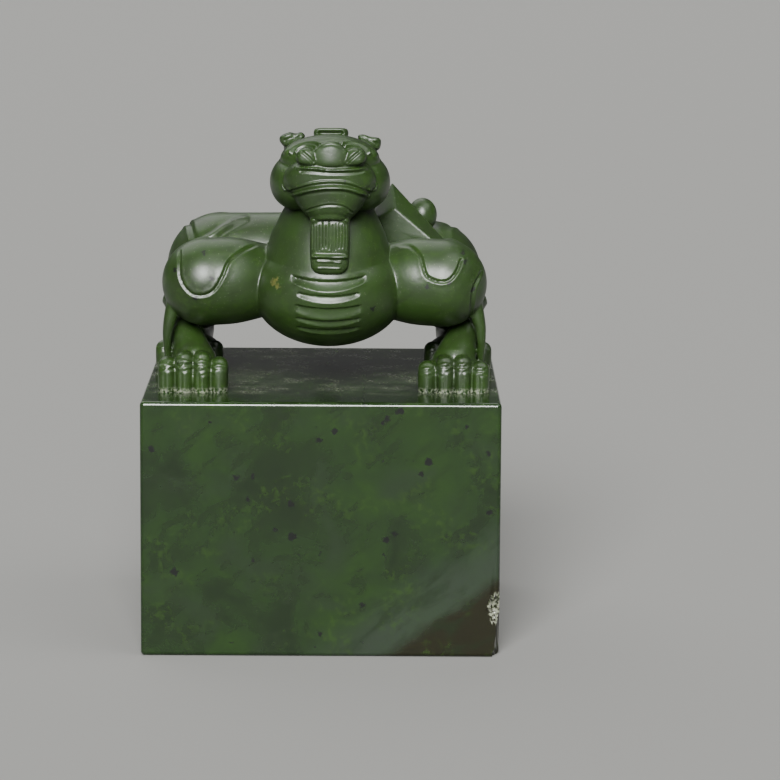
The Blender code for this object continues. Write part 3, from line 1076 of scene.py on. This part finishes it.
@dataclass(frozen=True)
class Block:
    """The square block, with softly rounded edges and the stone it has lost at its front right edge.

    Attributes:
        width: its size along X, in metres.
        depth: its size along Y, in metres.
        height: its size along Z, in metres.
        rounding: the radius of its edges, in metres.
    """

    width: float
    depth: float
    height: float = 0.0363
    rounding: float = 0.0006

    def steps(self, half: float) -> Array:
        """Grid lines along one side: eight over each rounding, then wider and wider to the middle.

        Args:
            half: half the side's length, in metres.

        Returns:
            The lines' places along the side, from its middle.
        """
        corner = self.rounding * (1 - np.linspace(0.0, 1.0, 9))
        inner = np.array([0.00015, 0.0004, 0.0010, 0.0022, 0.0045, 0.0080, 0.0130])
        run = np.concatenate([half - self.rounding + corner, half - self.rounding - inner])
        run = run[run > 0.002]
        return np.unique(np.concatenate([-run, [0.0], run]))

    def surface(self) -> Form:
        """The block as a rounded box.

        A point p of the cube's grid goes to q + r * (p - q) / |p - q|, where q is p held inside the box that
        is smaller by the rounding r on every side.

        Returns:
            The closed form, in metres.
        """
        half = np.array([self.width, self.depth, self.height]) / 2
        grids = [self.steps(side) for side in half]
        points, triangles, start = [], [], 0
        for axis in range(3):
            first, second = (axis + 1) % 3, (axis + 2) % 3
            u, v = np.meshgrid(grids[first], grids[second], indexing="ij")
            number = np.arange(u.size).reshape(u.shape)
            corners = (number[:-1, :-1], number[1:, :-1], number[1:, 1:], number[:-1, 1:])
            for sign in (-1.0, 1.0):
                face = np.empty((u.size, 3))
                face[:, axis] = sign * half[axis]
                face[:, first] = u.ravel()
                face[:, second] = v.ravel()
                a, b, c, d = (corner.ravel() + start for corner in corners)
                walls = np.concatenate([np.stack([a, b, c], axis=-1), np.stack([a, c, d], axis=-1)])
                triangles.append(walls if sign > 0 else walls[:, ::-1])
                points.append(face)
                start += u.size
        grid = np.concatenate(points)
        held = np.clip(grid, -(half - self.rounding), half - self.rounding)
        away = grid - held
        reach = np.linalg.norm(away, axis=1, keepdims=True)
        round_points = held + self.rounding * away / np.maximum(reach, 1e-12)
        keys = np.round(round_points * 1e8).astype(np.int64)
        _, kept, renamed = np.unique(keys, axis=0, return_index=True, return_inverse=True)
        faces = renamed.ravel()[np.concatenate(triangles)]
        solid = (faces[:, 0] != faces[:, 1]) & (faces[:, 1] != faces[:, 2]) & (faces[:, 2] != faces[:, 0])
        seated = round_points[kept] + np.array([0.0, 0.0, self.height / 2])
        return Form(seated, faces[solid].astype(np.int32)).outward()

    def losses(self) -> list[Form]:
        """Rough bodies of the stone that is gone: a chip on the right edge and a worn strip below it.

        Each is an ellipsoid whose radius swells and shrinks by a sum of sines of its own directions.

        Returns:
            The closed forms, in metres.
        """
        edge = np.array([self.width / 2, -self.depth / 2])
        made = []
        for x, y, z, radii, rough in (
            (0.0, 0.0, 0.0073, (0.0017, 0.0012, 0.0020), 0.16),
            (0.0012, 0.0, 0.0026, (0.0018, 0.0040, 0.0054), 0.05),
            (0.0011, -0.0002, 0.0, (0.0022, 0.0030, 0.0020), 0.04),
        ):
            form = lobe((0.0, 0.0, 0.0), (1.0, 1.0, 1.0))
            wave = np.sin(form.points @ np.array([[9.0, 4.0, 15.0], [5.0, 13.0, 8.0], [12.0, 7.0, 6.0]]))
            swell = 1.0 + rough * wave.sum(axis=1, keepdims=True) / 2
            place = np.array([edge[0] + x, edge[1] + y, z])
            made.append(Form(form.points * swell * np.array(radii) + place, form.triangles).outward())
        return made


# Finish


def to_linear(code: str) -> tuple[float, float, float, float]:
    """Turns an sRGB hex colour into linear light, by the sRGB curve.

    Args:
        code: six hex digits.

    Returns:
        Red, green, blue and an alpha of 1.
    """
    srgb = [int(code[n : n + 2], 16) / 255 for n in (0, 2, 4)]
    linear = [c / 12.92 if c <= 0.04045 else ((c + 0.055) / 1.055) ** 2.4 for c in srgb]
    return (linear[0], linear[1], linear[2], 1.0)


Tree = bpy.types.NodeTree
Socket = bpy.types.NodeSocket
Levels = tuple[float, float, float]
Places = tuple[tuple[float, float, float], ...]
# Bending their place shrinks small spots by about this many millimetres
SPOT_GROWTH = 0.14


def add_node(tree: Tree, kind: str, **settings: object) -> bpy.types.NodeOutputs:
    """Adds a shader node.

    Args:
        tree: the material's node tree.
        kind: the node's type, after ShaderNode.
        **settings: properties of the node, and values or other nodes' outputs for its inputs. An input goes
            by its name with _ for a space, or by n and its number.

    Returns:
        The node's outputs.
    """
    node = tree.nodes.new("ShaderNode" + kind)
    for name, value in settings.items():
        key = int(name[1:]) if name[0] == "n" and name[1:].isdigit() else name.replace("_", " ")
        if isinstance(value, Socket):
            tree.links.new(value, node.inputs[key])
        elif hasattr(node, name):
            setattr(node, name, value)
        else:
            node.inputs[key].default_value = value
    return node.outputs


class Ground(Enum):
    """The stone's noises, each as the millimetres between its bumps, its detail and its twist.

    Clouds in nephrite are 5 to 15 mm across, its veins 1 to 3 mm and its flecks about 1 mm. The orange peel of
    hand polish is about 1 mm apart. Dust is finer than shows, so POWDER and GRIT are drawn coarser.
    """

    CLOUDS = (11.0, 5.0, 0.8)
    GREYS = (8.8, 4.0, 0.5)
    WANDER = (6.0, 4.0, 0.0)
    VEINS = (2.2, 9.0, 0.6)
    PATCHES = (6.6, 3.0, 0.0)
    FLECKS = (1.1, 9.0, 0.4)
    BROKEN = (0.4, 4.0, 0.0)
    DRIFTS = (3.5, 4.0, 0.0)
    POWDER = (0.28, 3.0, 0.0)
    GRIT = (0.35, 3.0, 0.0)
    WEAR = (2.5, 5.0, 0.0)
    PEEL = (1.1, 3.0, 0.0)


@dataclass(frozen=True)
class Canvas:
    """The stone's node tree and what its patterns are drawn on.

    Attributes:
        tree: the material's node tree.
        mm: the place on the seal, in millimetres.
        back: Y in millimetres.
        up: Z in millimetres.
        above: the height over the block's top, in millimetres.
        facing: 1 where the surface faces up, and 0 where it is upright.
        noise: each ground's noise.
    """

    tree: Tree
    mm: Socket
    back: Socket
    up: Socket
    above: Socket
    facing: Socket
    noise: dict[Ground, Socket]

    def combined(self, operation: str, *shares: Socket | float | tuple[Socket, Levels]) -> Socket:
        """Combines shares of the surface.

        A share is an output, a number, or an output with its levels: 0 at the first level, rising as
        s^2 * (3 - 2s) of the way s to the second, where it is the third.

        Args:
            operation: how they combine, such as MULTIPLY or MAXIMUM.
            *shares: the shares.

        Returns:
            The result.
        """
        total = None
        for share in shares:
            if isinstance(share, tuple):
                value, (low, high, most) = share
                share = add_node(
                    self.tree, "MapRange", interpolation_type="SMOOTHSTEP", Value=value,
                    From_Min=low, From_Max=high, To_Max=most,
                )[0]
            if total is None:
                total = share
            else:
                total = add_node(self.tree, "Math", operation=operation, n0=total, n1=share)[0]
        return total

    def lay(self, under: Socket, code: str, *shares: Socket | float | tuple[Socket, Levels]) -> Socket:
        """The colour under, with the hex colour laid over it by the product of the shares."""
        share = self.combined("MULTIPLY", *shares)
        return add_node(self.tree, "Mix", data_type="RGBA", n0=share, n6=under, n7=to_linear(code))[2]

    def spots(self, where: Socket, places: Places, soft: float, back: float = 0.0) -> Socket:
        """Round spots, where the distance to one of their middles is less than its radius.

        Args:
            where: the place, bent a little so that the spots are ragged.
            places: each spot's side, height and radius, in millimetres.
            soft: the width of their rim, in millimetres.
            back: how far back their middles lie, in millimetres.

        Returns:
            1 inside a spot, and 0 outside.
        """
        shares = []
        for side, up, radius in places:
            gap = add_node(self.tree, "VectorMath", operation="DISTANCE", n0=where, n1=(side, back, up))
            rim = radius + SPOT_GROWTH
            shares.append((gap["Value"], (rim, rim - soft, 1.0)))
        return self.combined("MAXIMUM", *shares)


@dataclass(frozen=True)
class StoneDust:
    """Fine stone dust left from grinding. It gives the eye a dry bloom in hollows and scattered salt points.

    Real grit is a few hundredths of a millimetre. The points are drawn about 0.1 mm wide, so that they show.

    Attributes:
        colour: the dust's colour.
        level, low, inner, drift, powder: the ground's film, by facing, height, place and two noises.
        foot, toe, steep, grit: the grit round the feet, by height from above and below, facing and noise.
        point, rare, upward: the points, by distance, chance and facing.
        sides: the points' strength where the surface doesn't face up.
        points_per_mm: how close the points lie.
    """

    colour: str = "8a8e7c"
    level: Levels = (0.7, 0.95, 1.0)
    low: Levels = (0.8, 0.1, 1.0)
    inner: Levels = (-19.5, -17.0, 1.0)
    drift: Levels = (0.35, 0.65, 1.0)
    powder: Levels = (0.42, 0.66, 0.4)
    foot: Levels = (1.0, 0.2, 1.0)
    toe: Levels = (-0.02, 0.03, 1.0)
    steep: Levels = (0.85, 0.55, 1.0)
    grit: Levels = (0.40, 0.60, 0.5)
    point: Levels = (0.24, 0.10, 0.34)
    rare: Levels = (0.55, 0.90, 1.0)
    upward: Levels = (0.15, 0.8, 1.0)
    sides: float = 0.5
    points_per_mm: float = 3.0

    def where(self, canvas: Canvas) -> Socket:
        """Where dust lies: the most of a film below the beast, grit round its feet, and the points.

        Args:
            canvas: what it is drawn on.

        Returns:
            The dust's share, from 0 to 1.
        """
        noise, facing, above = canvas.noise, canvas.facing, canvas.above
        film = canvas.combined(
            "MULTIPLY", (facing, self.level), (above, self.low), (canvas.back, self.inner),
            (noise[Ground.DRIFTS], self.drift), (noise[Ground.POWDER], self.powder),
        )
        feet = canvas.combined(
            "MULTIPLY", (above, self.foot), (above, self.toe), (facing, self.steep),
            (noise[Ground.GRIT], self.grit),
        )
        points = add_node(canvas.tree, "TexVoronoi", Vector=canvas.mm, Scale=self.points_per_mm)
        chance = add_node(canvas.tree, "SeparateColor", Color=points["Color"])["Green"]
        lit = canvas.combined("MAXIMUM", (facing, self.upward), self.sides)
        salt = canvas.combined("MULTIPLY", (points["Distance"], self.point), (chance, self.rare), lit)
        return canvas.combined("MAXIMUM", film, feet, salt)


@dataclass(frozen=True)
class PolishedNephrite:
    """Spinach-green nephrite, cut, ground and hand polished.

    It gives the eye a dark grey-green body with greener and bluer clouds, diagonal veins, black grains of
    chromite, and a soft waxy gloss. Levels are where a pattern starts, where it is full, and its strength
    there. Those of places are in millimetres.

    Attributes:
        body, shade, warm: the clouds' middle, darkest and greenest colours.
        grey, blue, olive, pale: cooler clouds, the lower right cloud, the boulder's skin and small patches.
        carved: painted light, a lighter green laid over the carving for the light that falls on it.
        grain, stain: chromite and the rusty spots.
        dust: the dust that lies on the stone.
        ramp: where the clouds' shade, body and warm colours lie on their noise.
        grey_cloud, vein, patch, fleck, break_up: levels on the noises of those names.
        front: how far forward the lower right zones show.
        blue_cloud, olive_skin: levels on the slanting line of that corner.
        warm_top, warm_edge: the greener band below the block's top, by height and by noise.
        worked: the carving, by height over the block's top.
        near_front: how far forward the larger spots show.
        grain_size, grain_rim, grain_top: small grains' sizes by chance, their rim, and the height they reach.
        grain_mm: the mean distance between small grains.
        bend_mm: how far a fine noise moves the spots' rims.
        thinness, rust, black: the strengths of the carving's painted light, the stains and the grains.
        lie: the veins' slant, in degrees.
        polish, satin: roughness of the block and of the carving.
        wear, dust_matt, grain_matt: how much rougher worn, dusty and black stone is.
        peel, peel_height: the strength of the orange peel, and its height in metres.
        chips, stains, specks: side, height and radius of the larger spots.
    """

    body: str = "13220d"
    shade: str = "0f1a0a"
    warm: str = "16290b"
    grey: str = "172213"
    blue: str = "212920"
    olive: str = "110f03"
    pale: str = "22380d"
    # Painted light: the carving's lighter green stands in for the light that falls on it, not for a colour of
    # the stone.
    carved: str = "364a1c"
    grain: str = "040604"
    stain: str = "6a6233"
    dust: StoneDust = field(default_factory=StoneDust)
    ramp: Levels = (0.36, 0.50, 0.66)
    grey_cloud: Levels = (0.48, 0.68, 0.75)
    vein: Levels = (0.48, 0.68, 0.6)
    patch: Levels = (0.48, 0.62, 1.0)
    fleck: Levels = (0.46, 0.70, 0.42)
    break_up: Levels = (0.40, 0.62, 0.7)
    front: Levels = (-4.0, -20.0, 1.0)
    blue_cloud: Levels = (7.5, -1.5, 0.75)
    olive_skin: Levels = (-2.9, -5.5, 0.92)
    warm_top: Levels = (26.0, 35.0, 0.7)
    warm_edge: Levels = (0.35, 0.60, 1.0)
    worked: Levels = (0.1, 1.2, 1.0)
    near_front: Levels = (-9.0, -10.0, 1.0)
    grain_size: Levels = (0.55, 1.0, 0.13)
    grain_rim: Levels = (0.0, 0.03, 1.0)
    grain_top: Levels = (40.0, 36.0, 1.0)
    grain_mm: float = 3.0
    bend_mm: float = 1.3
    carving_painted_light: float = 0.12
    rust: float = 0.28
    black: float = 0.97
    lie: float = 38.0
    polish: float = 0.16
    satin: float = 0.37
    wear: float = 0.08
    dust_matt: float = 0.40
    grain_matt: float = 0.12
    peel: float = 0.10
    peel_height: float = 0.0002
    chips: Places = ((25.0, 8.3, 1.15), (24.9, 7.2, 1.35), (24.9, 5.9, 1.1), (25.1, 4.6, 0.6))
    stains: Places = ((-6.8, 52.2, 0.40), (-6.2, 51.7, 0.32), (-6.4, 52.6, 0.26))
    specks: Places = (
        (11.0, 35.1, 0.42), (9.3, 34.2, 0.30), (8.7, 33.6, 0.26), (6.0, 35.9, 0.22), (2.0, 32.3, 0.30),
        (-0.2, 31.0, 0.34), (15.0, 28.0, 0.46), (14.1, 26.2, 0.28), (-11.8, 25.7, 0.30), (-9.4, 25.8, 0.22),
        (-10.1, 22.5, 0.30), (-4.1, 21.9, 0.46), (-4.0, 17.3, 0.50), (-20.5, 12.1, 0.46), (-23.6, 29.6, 0.40),
        (9.3, 16.9, 0.34), (10.4, 17.7, 0.26), (23.4, 29.2, 0.28), (23.6, 20.9, 0.30), (20.3, 33.0, 0.22),
        (19.9, 56.0, 0.20), (20.2, 54.9, 0.20), (14.8, 51.6, 0.26), (17.9, 52.1, 0.18), (21.3, 51.0, 0.28),
        (7.1, 48.7, 0.26), (-16.7, 55.9, 0.20), (-15.5, 52.5, 0.22), (-17.8, 49.7, 0.24), (-20.8, 53.5, 0.20),
        (5.8, 64.9, 0.22), (3.2, 67.0, 0.12),
    )

    def material(self, block: Block) -> bpy.types.Material:
        """The stone's material.

        Args:
            block: the block, over whose top the carving and the dust lie.

        Returns:
            The material, on Object coordinates.
        """
        stone = bpy.data.materials.new("polished_nephrite")
        stone.use_nodes = True
        shader = stone.node_tree.nodes["Principled BSDF"]
        canvas = self.canvas(stone.node_tree, block.height / MM)
        worked = canvas.combined("MULTIPLY", (canvas.above, self.worked))
        colour = self.zones(canvas, self.clouds(canvas))
        # Painted light: the carving above the block's top is tinted a lighter green for the light it catches.
        colour = canvas.lay(self.veins(canvas, colour), self.carved, worked, self.carving_painted_light)
        colour, black = self.grains(canvas, colour)
        dusty = self.dust.where(canvas)
        peel = add_node(
            canvas.tree, "Bump", Height=canvas.noise[Ground.PEEL], Strength=self.peel,
            Distance=self.peel_height,
        )["Normal"]
        for name, output in (
            ("Base Color", canvas.lay(colour, self.dust.colour, dusty)),
            ("Roughness", self.gloss(canvas, worked, dusty, black)),
            ("Normal", peel),
        ):
            canvas.tree.links.new(output, shader.inputs[name])
        for name, value in (
            ("IOR", 1.61),
            ("Specular IOR Level", 0.29),
            ("Subsurface Weight", 0.16),
            ("Subsurface Radius", (0.6, 1.0, 0.35)),
            ("Subsurface Scale", 0.0022),
        ):
            shader.inputs[name].default_value = value
        return stone

    def canvas(self, tree: Tree, top_mm: float) -> Canvas:
        """What the patterns are drawn on: places in millimetres, where the surface faces up, and the noises.

        The greys are moved off the clouds. The veins lie aslant, and are drawn out along their slant.

        Args:
            tree: the material's node tree.
            top_mm: the height of the block's top, in millimetres.

        Returns:
            The canvas.
        """
        place = add_node(tree, "TexCoord")["Object"]
        mm = add_node(tree, "Mapping", Vector=place, Scale=(1 / MM, 1 / MM, 1 / MM))[0]
        moved = add_node(tree, "Mapping", Vector=mm, Location=(31.0, 7.0, 13.0))[0]
        slanted = add_node(
            tree, "Mapping", vector_type="TEXTURE", Vector=mm,
            Rotation=(0.0, math.radians(-self.lie), 0.0), Scale=(2.6, 1.4, 1.0),
        )[0]
        own = {Ground.GREYS: moved, Ground.VEINS: slanted}
        noise = {}
        for ground in Ground:
            size, detail, twist = ground.value
            noise[ground] = add_node(
                tree, "TexNoise", Vector=own.get(ground, mm), Scale=1 / size, Detail=detail, Roughness=0.55,
                Distortion=twist,
            )[0]
        _, back, up = add_node(tree, "SeparateXYZ", Vector=mm)
        normal = add_node(tree, "NewGeometry")["Normal"]
        facing = add_node(tree, "SeparateXYZ", Vector=normal)["Z"]
        above = add_node(tree, "Math", operation="SUBTRACT", n0=up, n1=top_mm)[0]
        return Canvas(tree, mm, back, up, above, facing, noise)

    def clouds(self, canvas: Canvas) -> Socket:
        """Broad soft clouds from shade through body to warm green, with greyer ones laid over them.

        Args:
            canvas: what it is drawn on.

        Returns:
            The colour.
        """
        ramp = add_node(canvas.tree, "ValToRGB", Fac=canvas.noise[Ground.CLOUDS])["Color"]
        stops = ramp.node.color_ramp.elements
        stops.new(0.5)
        for stop, place, code in zip(stops, self.ramp, (self.shade, self.body, self.warm)):
            stop.position = place
            stop.color = to_linear(code)
        return canvas.lay(ramp, self.grey, (canvas.noise[Ground.GREYS], self.grey_cloud))

    def zones(self, canvas: Canvas, colour: Socket) -> Socket:
        """The front right corner's blue-grey cloud with olive skin of the boulder below, and a warmer top.

        The corner's line is -0.72 * side + up, bent by 5 times the wandering noise.

        Args:
            canvas: what they are drawn on.
            colour: the colour under them.

        Returns:
            The colour.
        """
        tree, wander = canvas.tree, canvas.noise[Ground.WANDER]
        slant = add_node(tree, "VectorMath", operation="DOT_PRODUCT", n0=canvas.mm, n1=(-0.72, 0.0, 1.0))
        line = add_node(tree, "Math", operation="MULTIPLY_ADD", n0=wander, n1=5.0, n2=slant["Value"])[0]
        front = canvas.back, self.front
        colour = canvas.lay(colour, self.blue, (line, self.blue_cloud), front)
        colour = canvas.lay(colour, self.warm, (canvas.up, self.warm_top), (wander, self.warm_edge))
        return canvas.lay(colour, self.olive, (line, self.olive_skin), front)

    def veins(self, canvas: Canvas, colour: Socket) -> Socket:
        """Thin dark veins that run from lower left to upper right, and small pale green patches.

        Args:
            canvas: what they are drawn on.
            colour: the colour under them.

        Returns:
            The colour.
        """
        colour = canvas.lay(colour, self.shade, (canvas.noise[Ground.VEINS], self.vein))
        patches, flecks = canvas.noise[Ground.PATCHES], canvas.noise[Ground.FLECKS]
        return canvas.lay(colour, self.pale, (patches, self.patch), (flecks, self.fleck))

    def grains(self, canvas: Canvas, colour: Socket) -> tuple[Socket, Socket]:
        """Black grains and stains: the larger ones in their places, and small ones all through the block.

        Places are bent by a fine noise N, as place + bend * (N - 0.5), so that no spot is round.

        Args:
            canvas: what they are drawn on.
            colour: the colour under them.

        Returns:
            The colour, and where the stone is black.
        """
        tree, bend = canvas.tree, (self.bend_mm,) * 3
        fine = add_node(tree, "TexNoise", Vector=canvas.mm, Scale=2.6, Detail=5.0)["Color"]
        centred = add_node(tree, "VectorMath", operation="SUBTRACT", n0=fine, n1=(0.5, 0.5, 0.5))[0]
        bent = add_node(tree, "VectorMath", operation="MULTIPLY_ADD", n0=centred, n1=bend, n2=canvas.mm)[0]
        flat = add_node(tree, "VectorMath", operation="MULTIPLY", n0=bent, n1=(1.0, 0.0, 1.0))[0]
        front = canvas.back, self.near_front
        colour = canvas.lay(colour, self.stain, canvas.spots(flat, self.stains, 0.3), front, self.rust)
        chipped = canvas.spots(bent, self.chips, 0.35, back=-24.9)
        colour = canvas.lay(colour, self.dust.colour, chipped, (canvas.noise[Ground.BROKEN], self.break_up))
        cells = add_node(tree, "TexVoronoi", Vector=bent, Scale=1 / self.grain_mm)
        chance = add_node(tree, "SeparateColor", Color=cells["Color"])["Red"]
        left = canvas.combined("SUBTRACT", (chance, self.grain_size), cells["Distance"])
        small = canvas.combined("MULTIPLY", (left, self.grain_rim), (canvas.up, self.grain_top))
        large = canvas.combined("MULTIPLY", canvas.spots(flat, self.specks, 0.12), front)
        black = canvas.combined("MAXIMUM", large, small)
        return canvas.lay(colour, self.grain, black, self.black), black

    def gloss(self, canvas: Canvas, worked: Socket, dusty: Socket, black: Socket) -> Socket:
        """Roughness: high polish on the block, satin on the carving, matt under dust and on black grains.

        Args:
            canvas: what it is drawn on.
            worked: where the stone is carved.
            dusty: where dust lies.
            black: where the stone is black.

        Returns:
            The roughness.
        """
        total: Socket | float = self.polish - self.wear / 2
        for share, more in (
            (canvas.noise[Ground.WEAR], self.wear),
            (worked, self.satin - self.polish),
            (dusty, self.dust_matt),
            (black, self.grain_matt),
        ):
            total = add_node(canvas.tree, "Math", operation="MULTIPLY_ADD", n0=share, n1=more, n2=total)[0]
        return total


@dataclass(frozen=True)
class PalePaper:
    """Seamless background paper. It gives the eye an even, pale, matt ground.

    Attributes:
        colour: its colour.
        roughness: its roughness.
    """

    colour: str = "6a6a67"
    roughness: float = 0.9

    def material(self) -> bpy.types.Material:
        """The paper's material.

        Returns:
            The material.
        """
        paper = bpy.data.materials.new("background_paper")
        paper.use_nodes = True
        shader = paper.node_tree.nodes["Principled BSDF"]
        shader.inputs["Base Color"].default_value = to_linear(self.colour)
        shader.inputs["Roughness"].default_value = self.roughness
        return paper


# The seal


@dataclass
class JadeSeal:
    """The whole seal: the block and the beast, cut from one stone.

    Attributes:
        block: the block.
        figure: how the beast is set on it.
        trunk: the beast's trunk.
        head: its head.
        tail: its tail.
        shoulders: the outlines of its muscles.
        finish: the stone's finish.
        sharp: the angle between faces past which an edge shows crisp, in degrees.
    """

    block: Block
    figure: Figure = field(default_factory=Figure)
    trunk: Trunk = field(default_factory=Trunk)
    head: Head = field(default_factory=Head)
    tail: Tail = field(default_factory=Tail)
    shoulders: Shoulders = field(default_factory=Shoulders)
    finish: PolishedNephrite = field(default_factory=PolishedNephrite)
    sharp: float = 38.0

    def forelegs(self) -> list[Foreleg]:
        """Both forelegs."""
        return [Foreleg(Side.LEFT), Foreleg(Side.RIGHT)]

    def hind_legs(self) -> list[HindLeg]:
        """Both hind legs. The right haunch is a little smaller.

        Returns:
            The left one, then the right one.
        """
        return [
            HindLeg(Side.LEFT, (15.6, -12.6, 14.1), (8.1, 8.8, 8.1)),
            HindLeg(Side.RIGHT, (15.2, -12.6, 13.5), (7.8, 8.6, 7.6)),
        ]

    def paws(self) -> list[Paw]:
        """Forepaws, then hind paws.

        Returns:
            The four paws, each left before right.
        """
        return [
            Paw(-18.2, 18.2, 5.9, 10.0),
            Paw(18.7, 17.5, 5.4, 10.2),
            Paw(-19.8, -4.0, 4.8, 10.0),
            Paw(19.8, -4.0, 4.8, 10.0),
        ]

    def body_forms(self) -> list[Form]:
        """Every form of the body."""
        parts = [self.trunk, self.tail, *self.forelegs(), *self.hind_legs(), *self.paws()]
        return [form for part in parts for form in part.forms()]

    def body_marks(self) -> list[Stroke | Scoop]:
        """Every mark on the body.

        Returns:
            The marks of shoulders, trunk and paws, in that order.
        """
        marks = self.shoulders.marks() + self.trunk.marks()
        for paw in self.paws():
            marks += paw.marks()
        return marks

    def build(self, detail: Detail) -> bpy.types.Object:
        """Makes the seal as one closed piece.

        Args:
            detail: how finely to make the skins.

        Returns:
            The piece, dressed, which stands for the CAD solid.
        """
        scale, shift = self.figure.to_seal(self.block)
        body_skin, head_skin = detail.value
        body = body_skin.carve("body", self.body_forms(), self.body_marks(), scale, shift)
        head = head_skin.carve("head", self.head.forms(), self.head.marks(), scale, shift)
        seal = mesh_object("jade_seal_carving", self.block.surface())
        helpers = [body, head]
        for loss in self.block.losses():
            cutter = mesh_object("lost_stone", loss)
            helpers.append(cutter)
            self.combine(seal, cutter, "DIFFERENCE")
        self.combine(seal, body, "UNION")
        self.combine(seal, head, "UNION")
        settle(seal)
        for helper in helpers:
            drop(helper)
        seal.data.shade_smooth()
        seal.data.set_sharp_from_angle(angle=math.radians(self.sharp))
        seal.data.materials.clear()
        seal.data.materials.append(self.finish.material(self.block))
        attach(seal, "root")
        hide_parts(NODE)
        LOG.info("%s: %d faces", seal.name, len(seal.data.polygons))
        return seal

    def combine(self, seal: bpy.types.Object, other: bpy.types.Object, operation: str) -> None:
        """Joins the other body to the seal, or cuts it away.

        Args:
            seal: the seal.
            other: the other body.
            operation: UNION or DIFFERENCE.
        """
        boolean = seal.modifiers.new(other.name, "BOOLEAN")
        boolean.operation = operation
        boolean.object = other
        boolean.solver = "MANIFOLD"


# Studio


@dataclass(frozen=True)
class Studio:
    """A pale floor, soft light from the front and from above, and the camera.

    Attributes:
        floor_size: the floor's side, in metres.
        lens: the camera's focal length, in millimetres.
        eye: the camera's place, in metres.
        pitch: how far it looks down, in degrees.
        yaw: how far it looks to the left of straight ahead, in degrees.
        roll: how far it leans, in degrees.
        surround: the strength of the even light from all sides.
        lamps: each light's name, strength, spread, azimuth and elevation.
    """

    floor_size: float = 12.0
    lens: float = 166.08
    eye: Point = (0.00643, -0.51944, 0.12051)
    pitch: float = 9.46
    yaw: float = -0.371
    roll: float = -0.377
    surround: float = 0.10
    lamps: tuple[tuple[str, float, float, float, float], ...] = (
        ("front_light", 12.0, 30.0, -6.0, 31.0),
        ("side_light", 1.5, 45.0, 62.0, 60.0),
        ("back_light", 1.3, 55.0, 205.0, 50.0),
    )

    def floor(self) -> None:
        """The floor: a flat sheet at the height of the seal's underside."""
        half = self.floor_size / 2
        corners = [(-half, -half, 0.0), (half, -half, 0.0), (half, half, 0.0), (-half, half, 0.0)]
        mesh = bpy.data.meshes.new("floor")
        mesh.from_pydata(corners, [], [(0, 1, 2, 3)])
        mesh.materials.append(PalePaper().material())
        floor = bpy.data.objects.new("floor", mesh)
        bpy.context.scene.collection.objects.link(floor)

    def light(self, name: str, strength: float, spread: float, azimuth: float, elevation: float) -> None:
        """A large soft light, far away.

        Args:
            name: the light's name.
            strength: its strength.
            spread: its width as seen from the seal, in degrees.
            azimuth: where it stands, in degrees from the front towards the right.
            elevation: its height over the floor, in degrees.
        """
        lamp = bpy.data.lights.new(name, "SUN")
        lamp.energy = strength
        lamp.angle = math.radians(spread)
        made = bpy.data.objects.new(name, lamp)
        bpy.context.scene.collection.objects.link(made)
        a, e = math.radians(azimuth), math.radians(elevation)
        towards = Vector((math.sin(a) * math.cos(e), -math.cos(a) * math.cos(e), math.sin(e)))
        made.rotation_euler = towards.to_track_quat("Z", "Y").to_euler()

    def lights(self) -> None:
        """A soft key from the front, weaker ones from the right and from behind, and a dim even surround."""
        for lamp in self.lamps:
            self.light(*lamp)
        world = bpy.data.worlds.new("studio")
        world.use_nodes = True
        background = world.node_tree.nodes["Background"]
        background.inputs["Color"].default_value = (1.0, 1.0, 1.0, 1.0)
        background.inputs["Strength"].default_value = self.surround
        bpy.context.scene.world = world

    def camera(self) -> None:
        """The camera, at the place and angle from which the seal was seen.

        Its axes are the level right and forward directions turned by yaw and pitch, with right and up then
        mixed by the roll.
        """
        yaw, pitch, roll = (math.radians(a) for a in (self.yaw, self.pitch, self.roll))
        right = Vector((math.cos(yaw), math.sin(yaw), 0.0))
        ahead = Vector((-math.sin(yaw) * math.cos(pitch), math.cos(yaw) * math.cos(pitch), -math.sin(pitch)))
        up = right.cross(ahead)
        across = right * math.cos(roll) - up * math.sin(roll)
        above = right * math.sin(roll) + up * math.cos(roll)
        view = bpy.data.cameras.new("camera")
        view.lens = self.lens
        view.sensor_width = 36.0
        view.clip_start = 0.01
        view.clip_end = 100.0
        made = bpy.data.objects.new("camera", view)
        bpy.context.scene.collection.objects.link(made)
        columns = (across, above, -ahead, Vector(self.eye))
        rows = [[column[row] for column in columns] for row in range(3)]
        made.matrix_world = Matrix([*rows, [0.0, 0.0, 0.0, 1.0]])
        bpy.context.scene.camera = made


def main() -> None:
    """Builds the seal and the studio in order."""
    logging.basicConfig(level=logging.INFO, format="%(name)s: %(message)s")
    low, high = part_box(NODE)
    block = Block(width=high[0] - low[0], depth=high[1] - low[1])
    JadeSeal(block).build(Detail.FULL)
    studio = Studio()
    studio.floor()
    studio.lights()
    studio.camera()


if __name__ == "__main__":
    main()
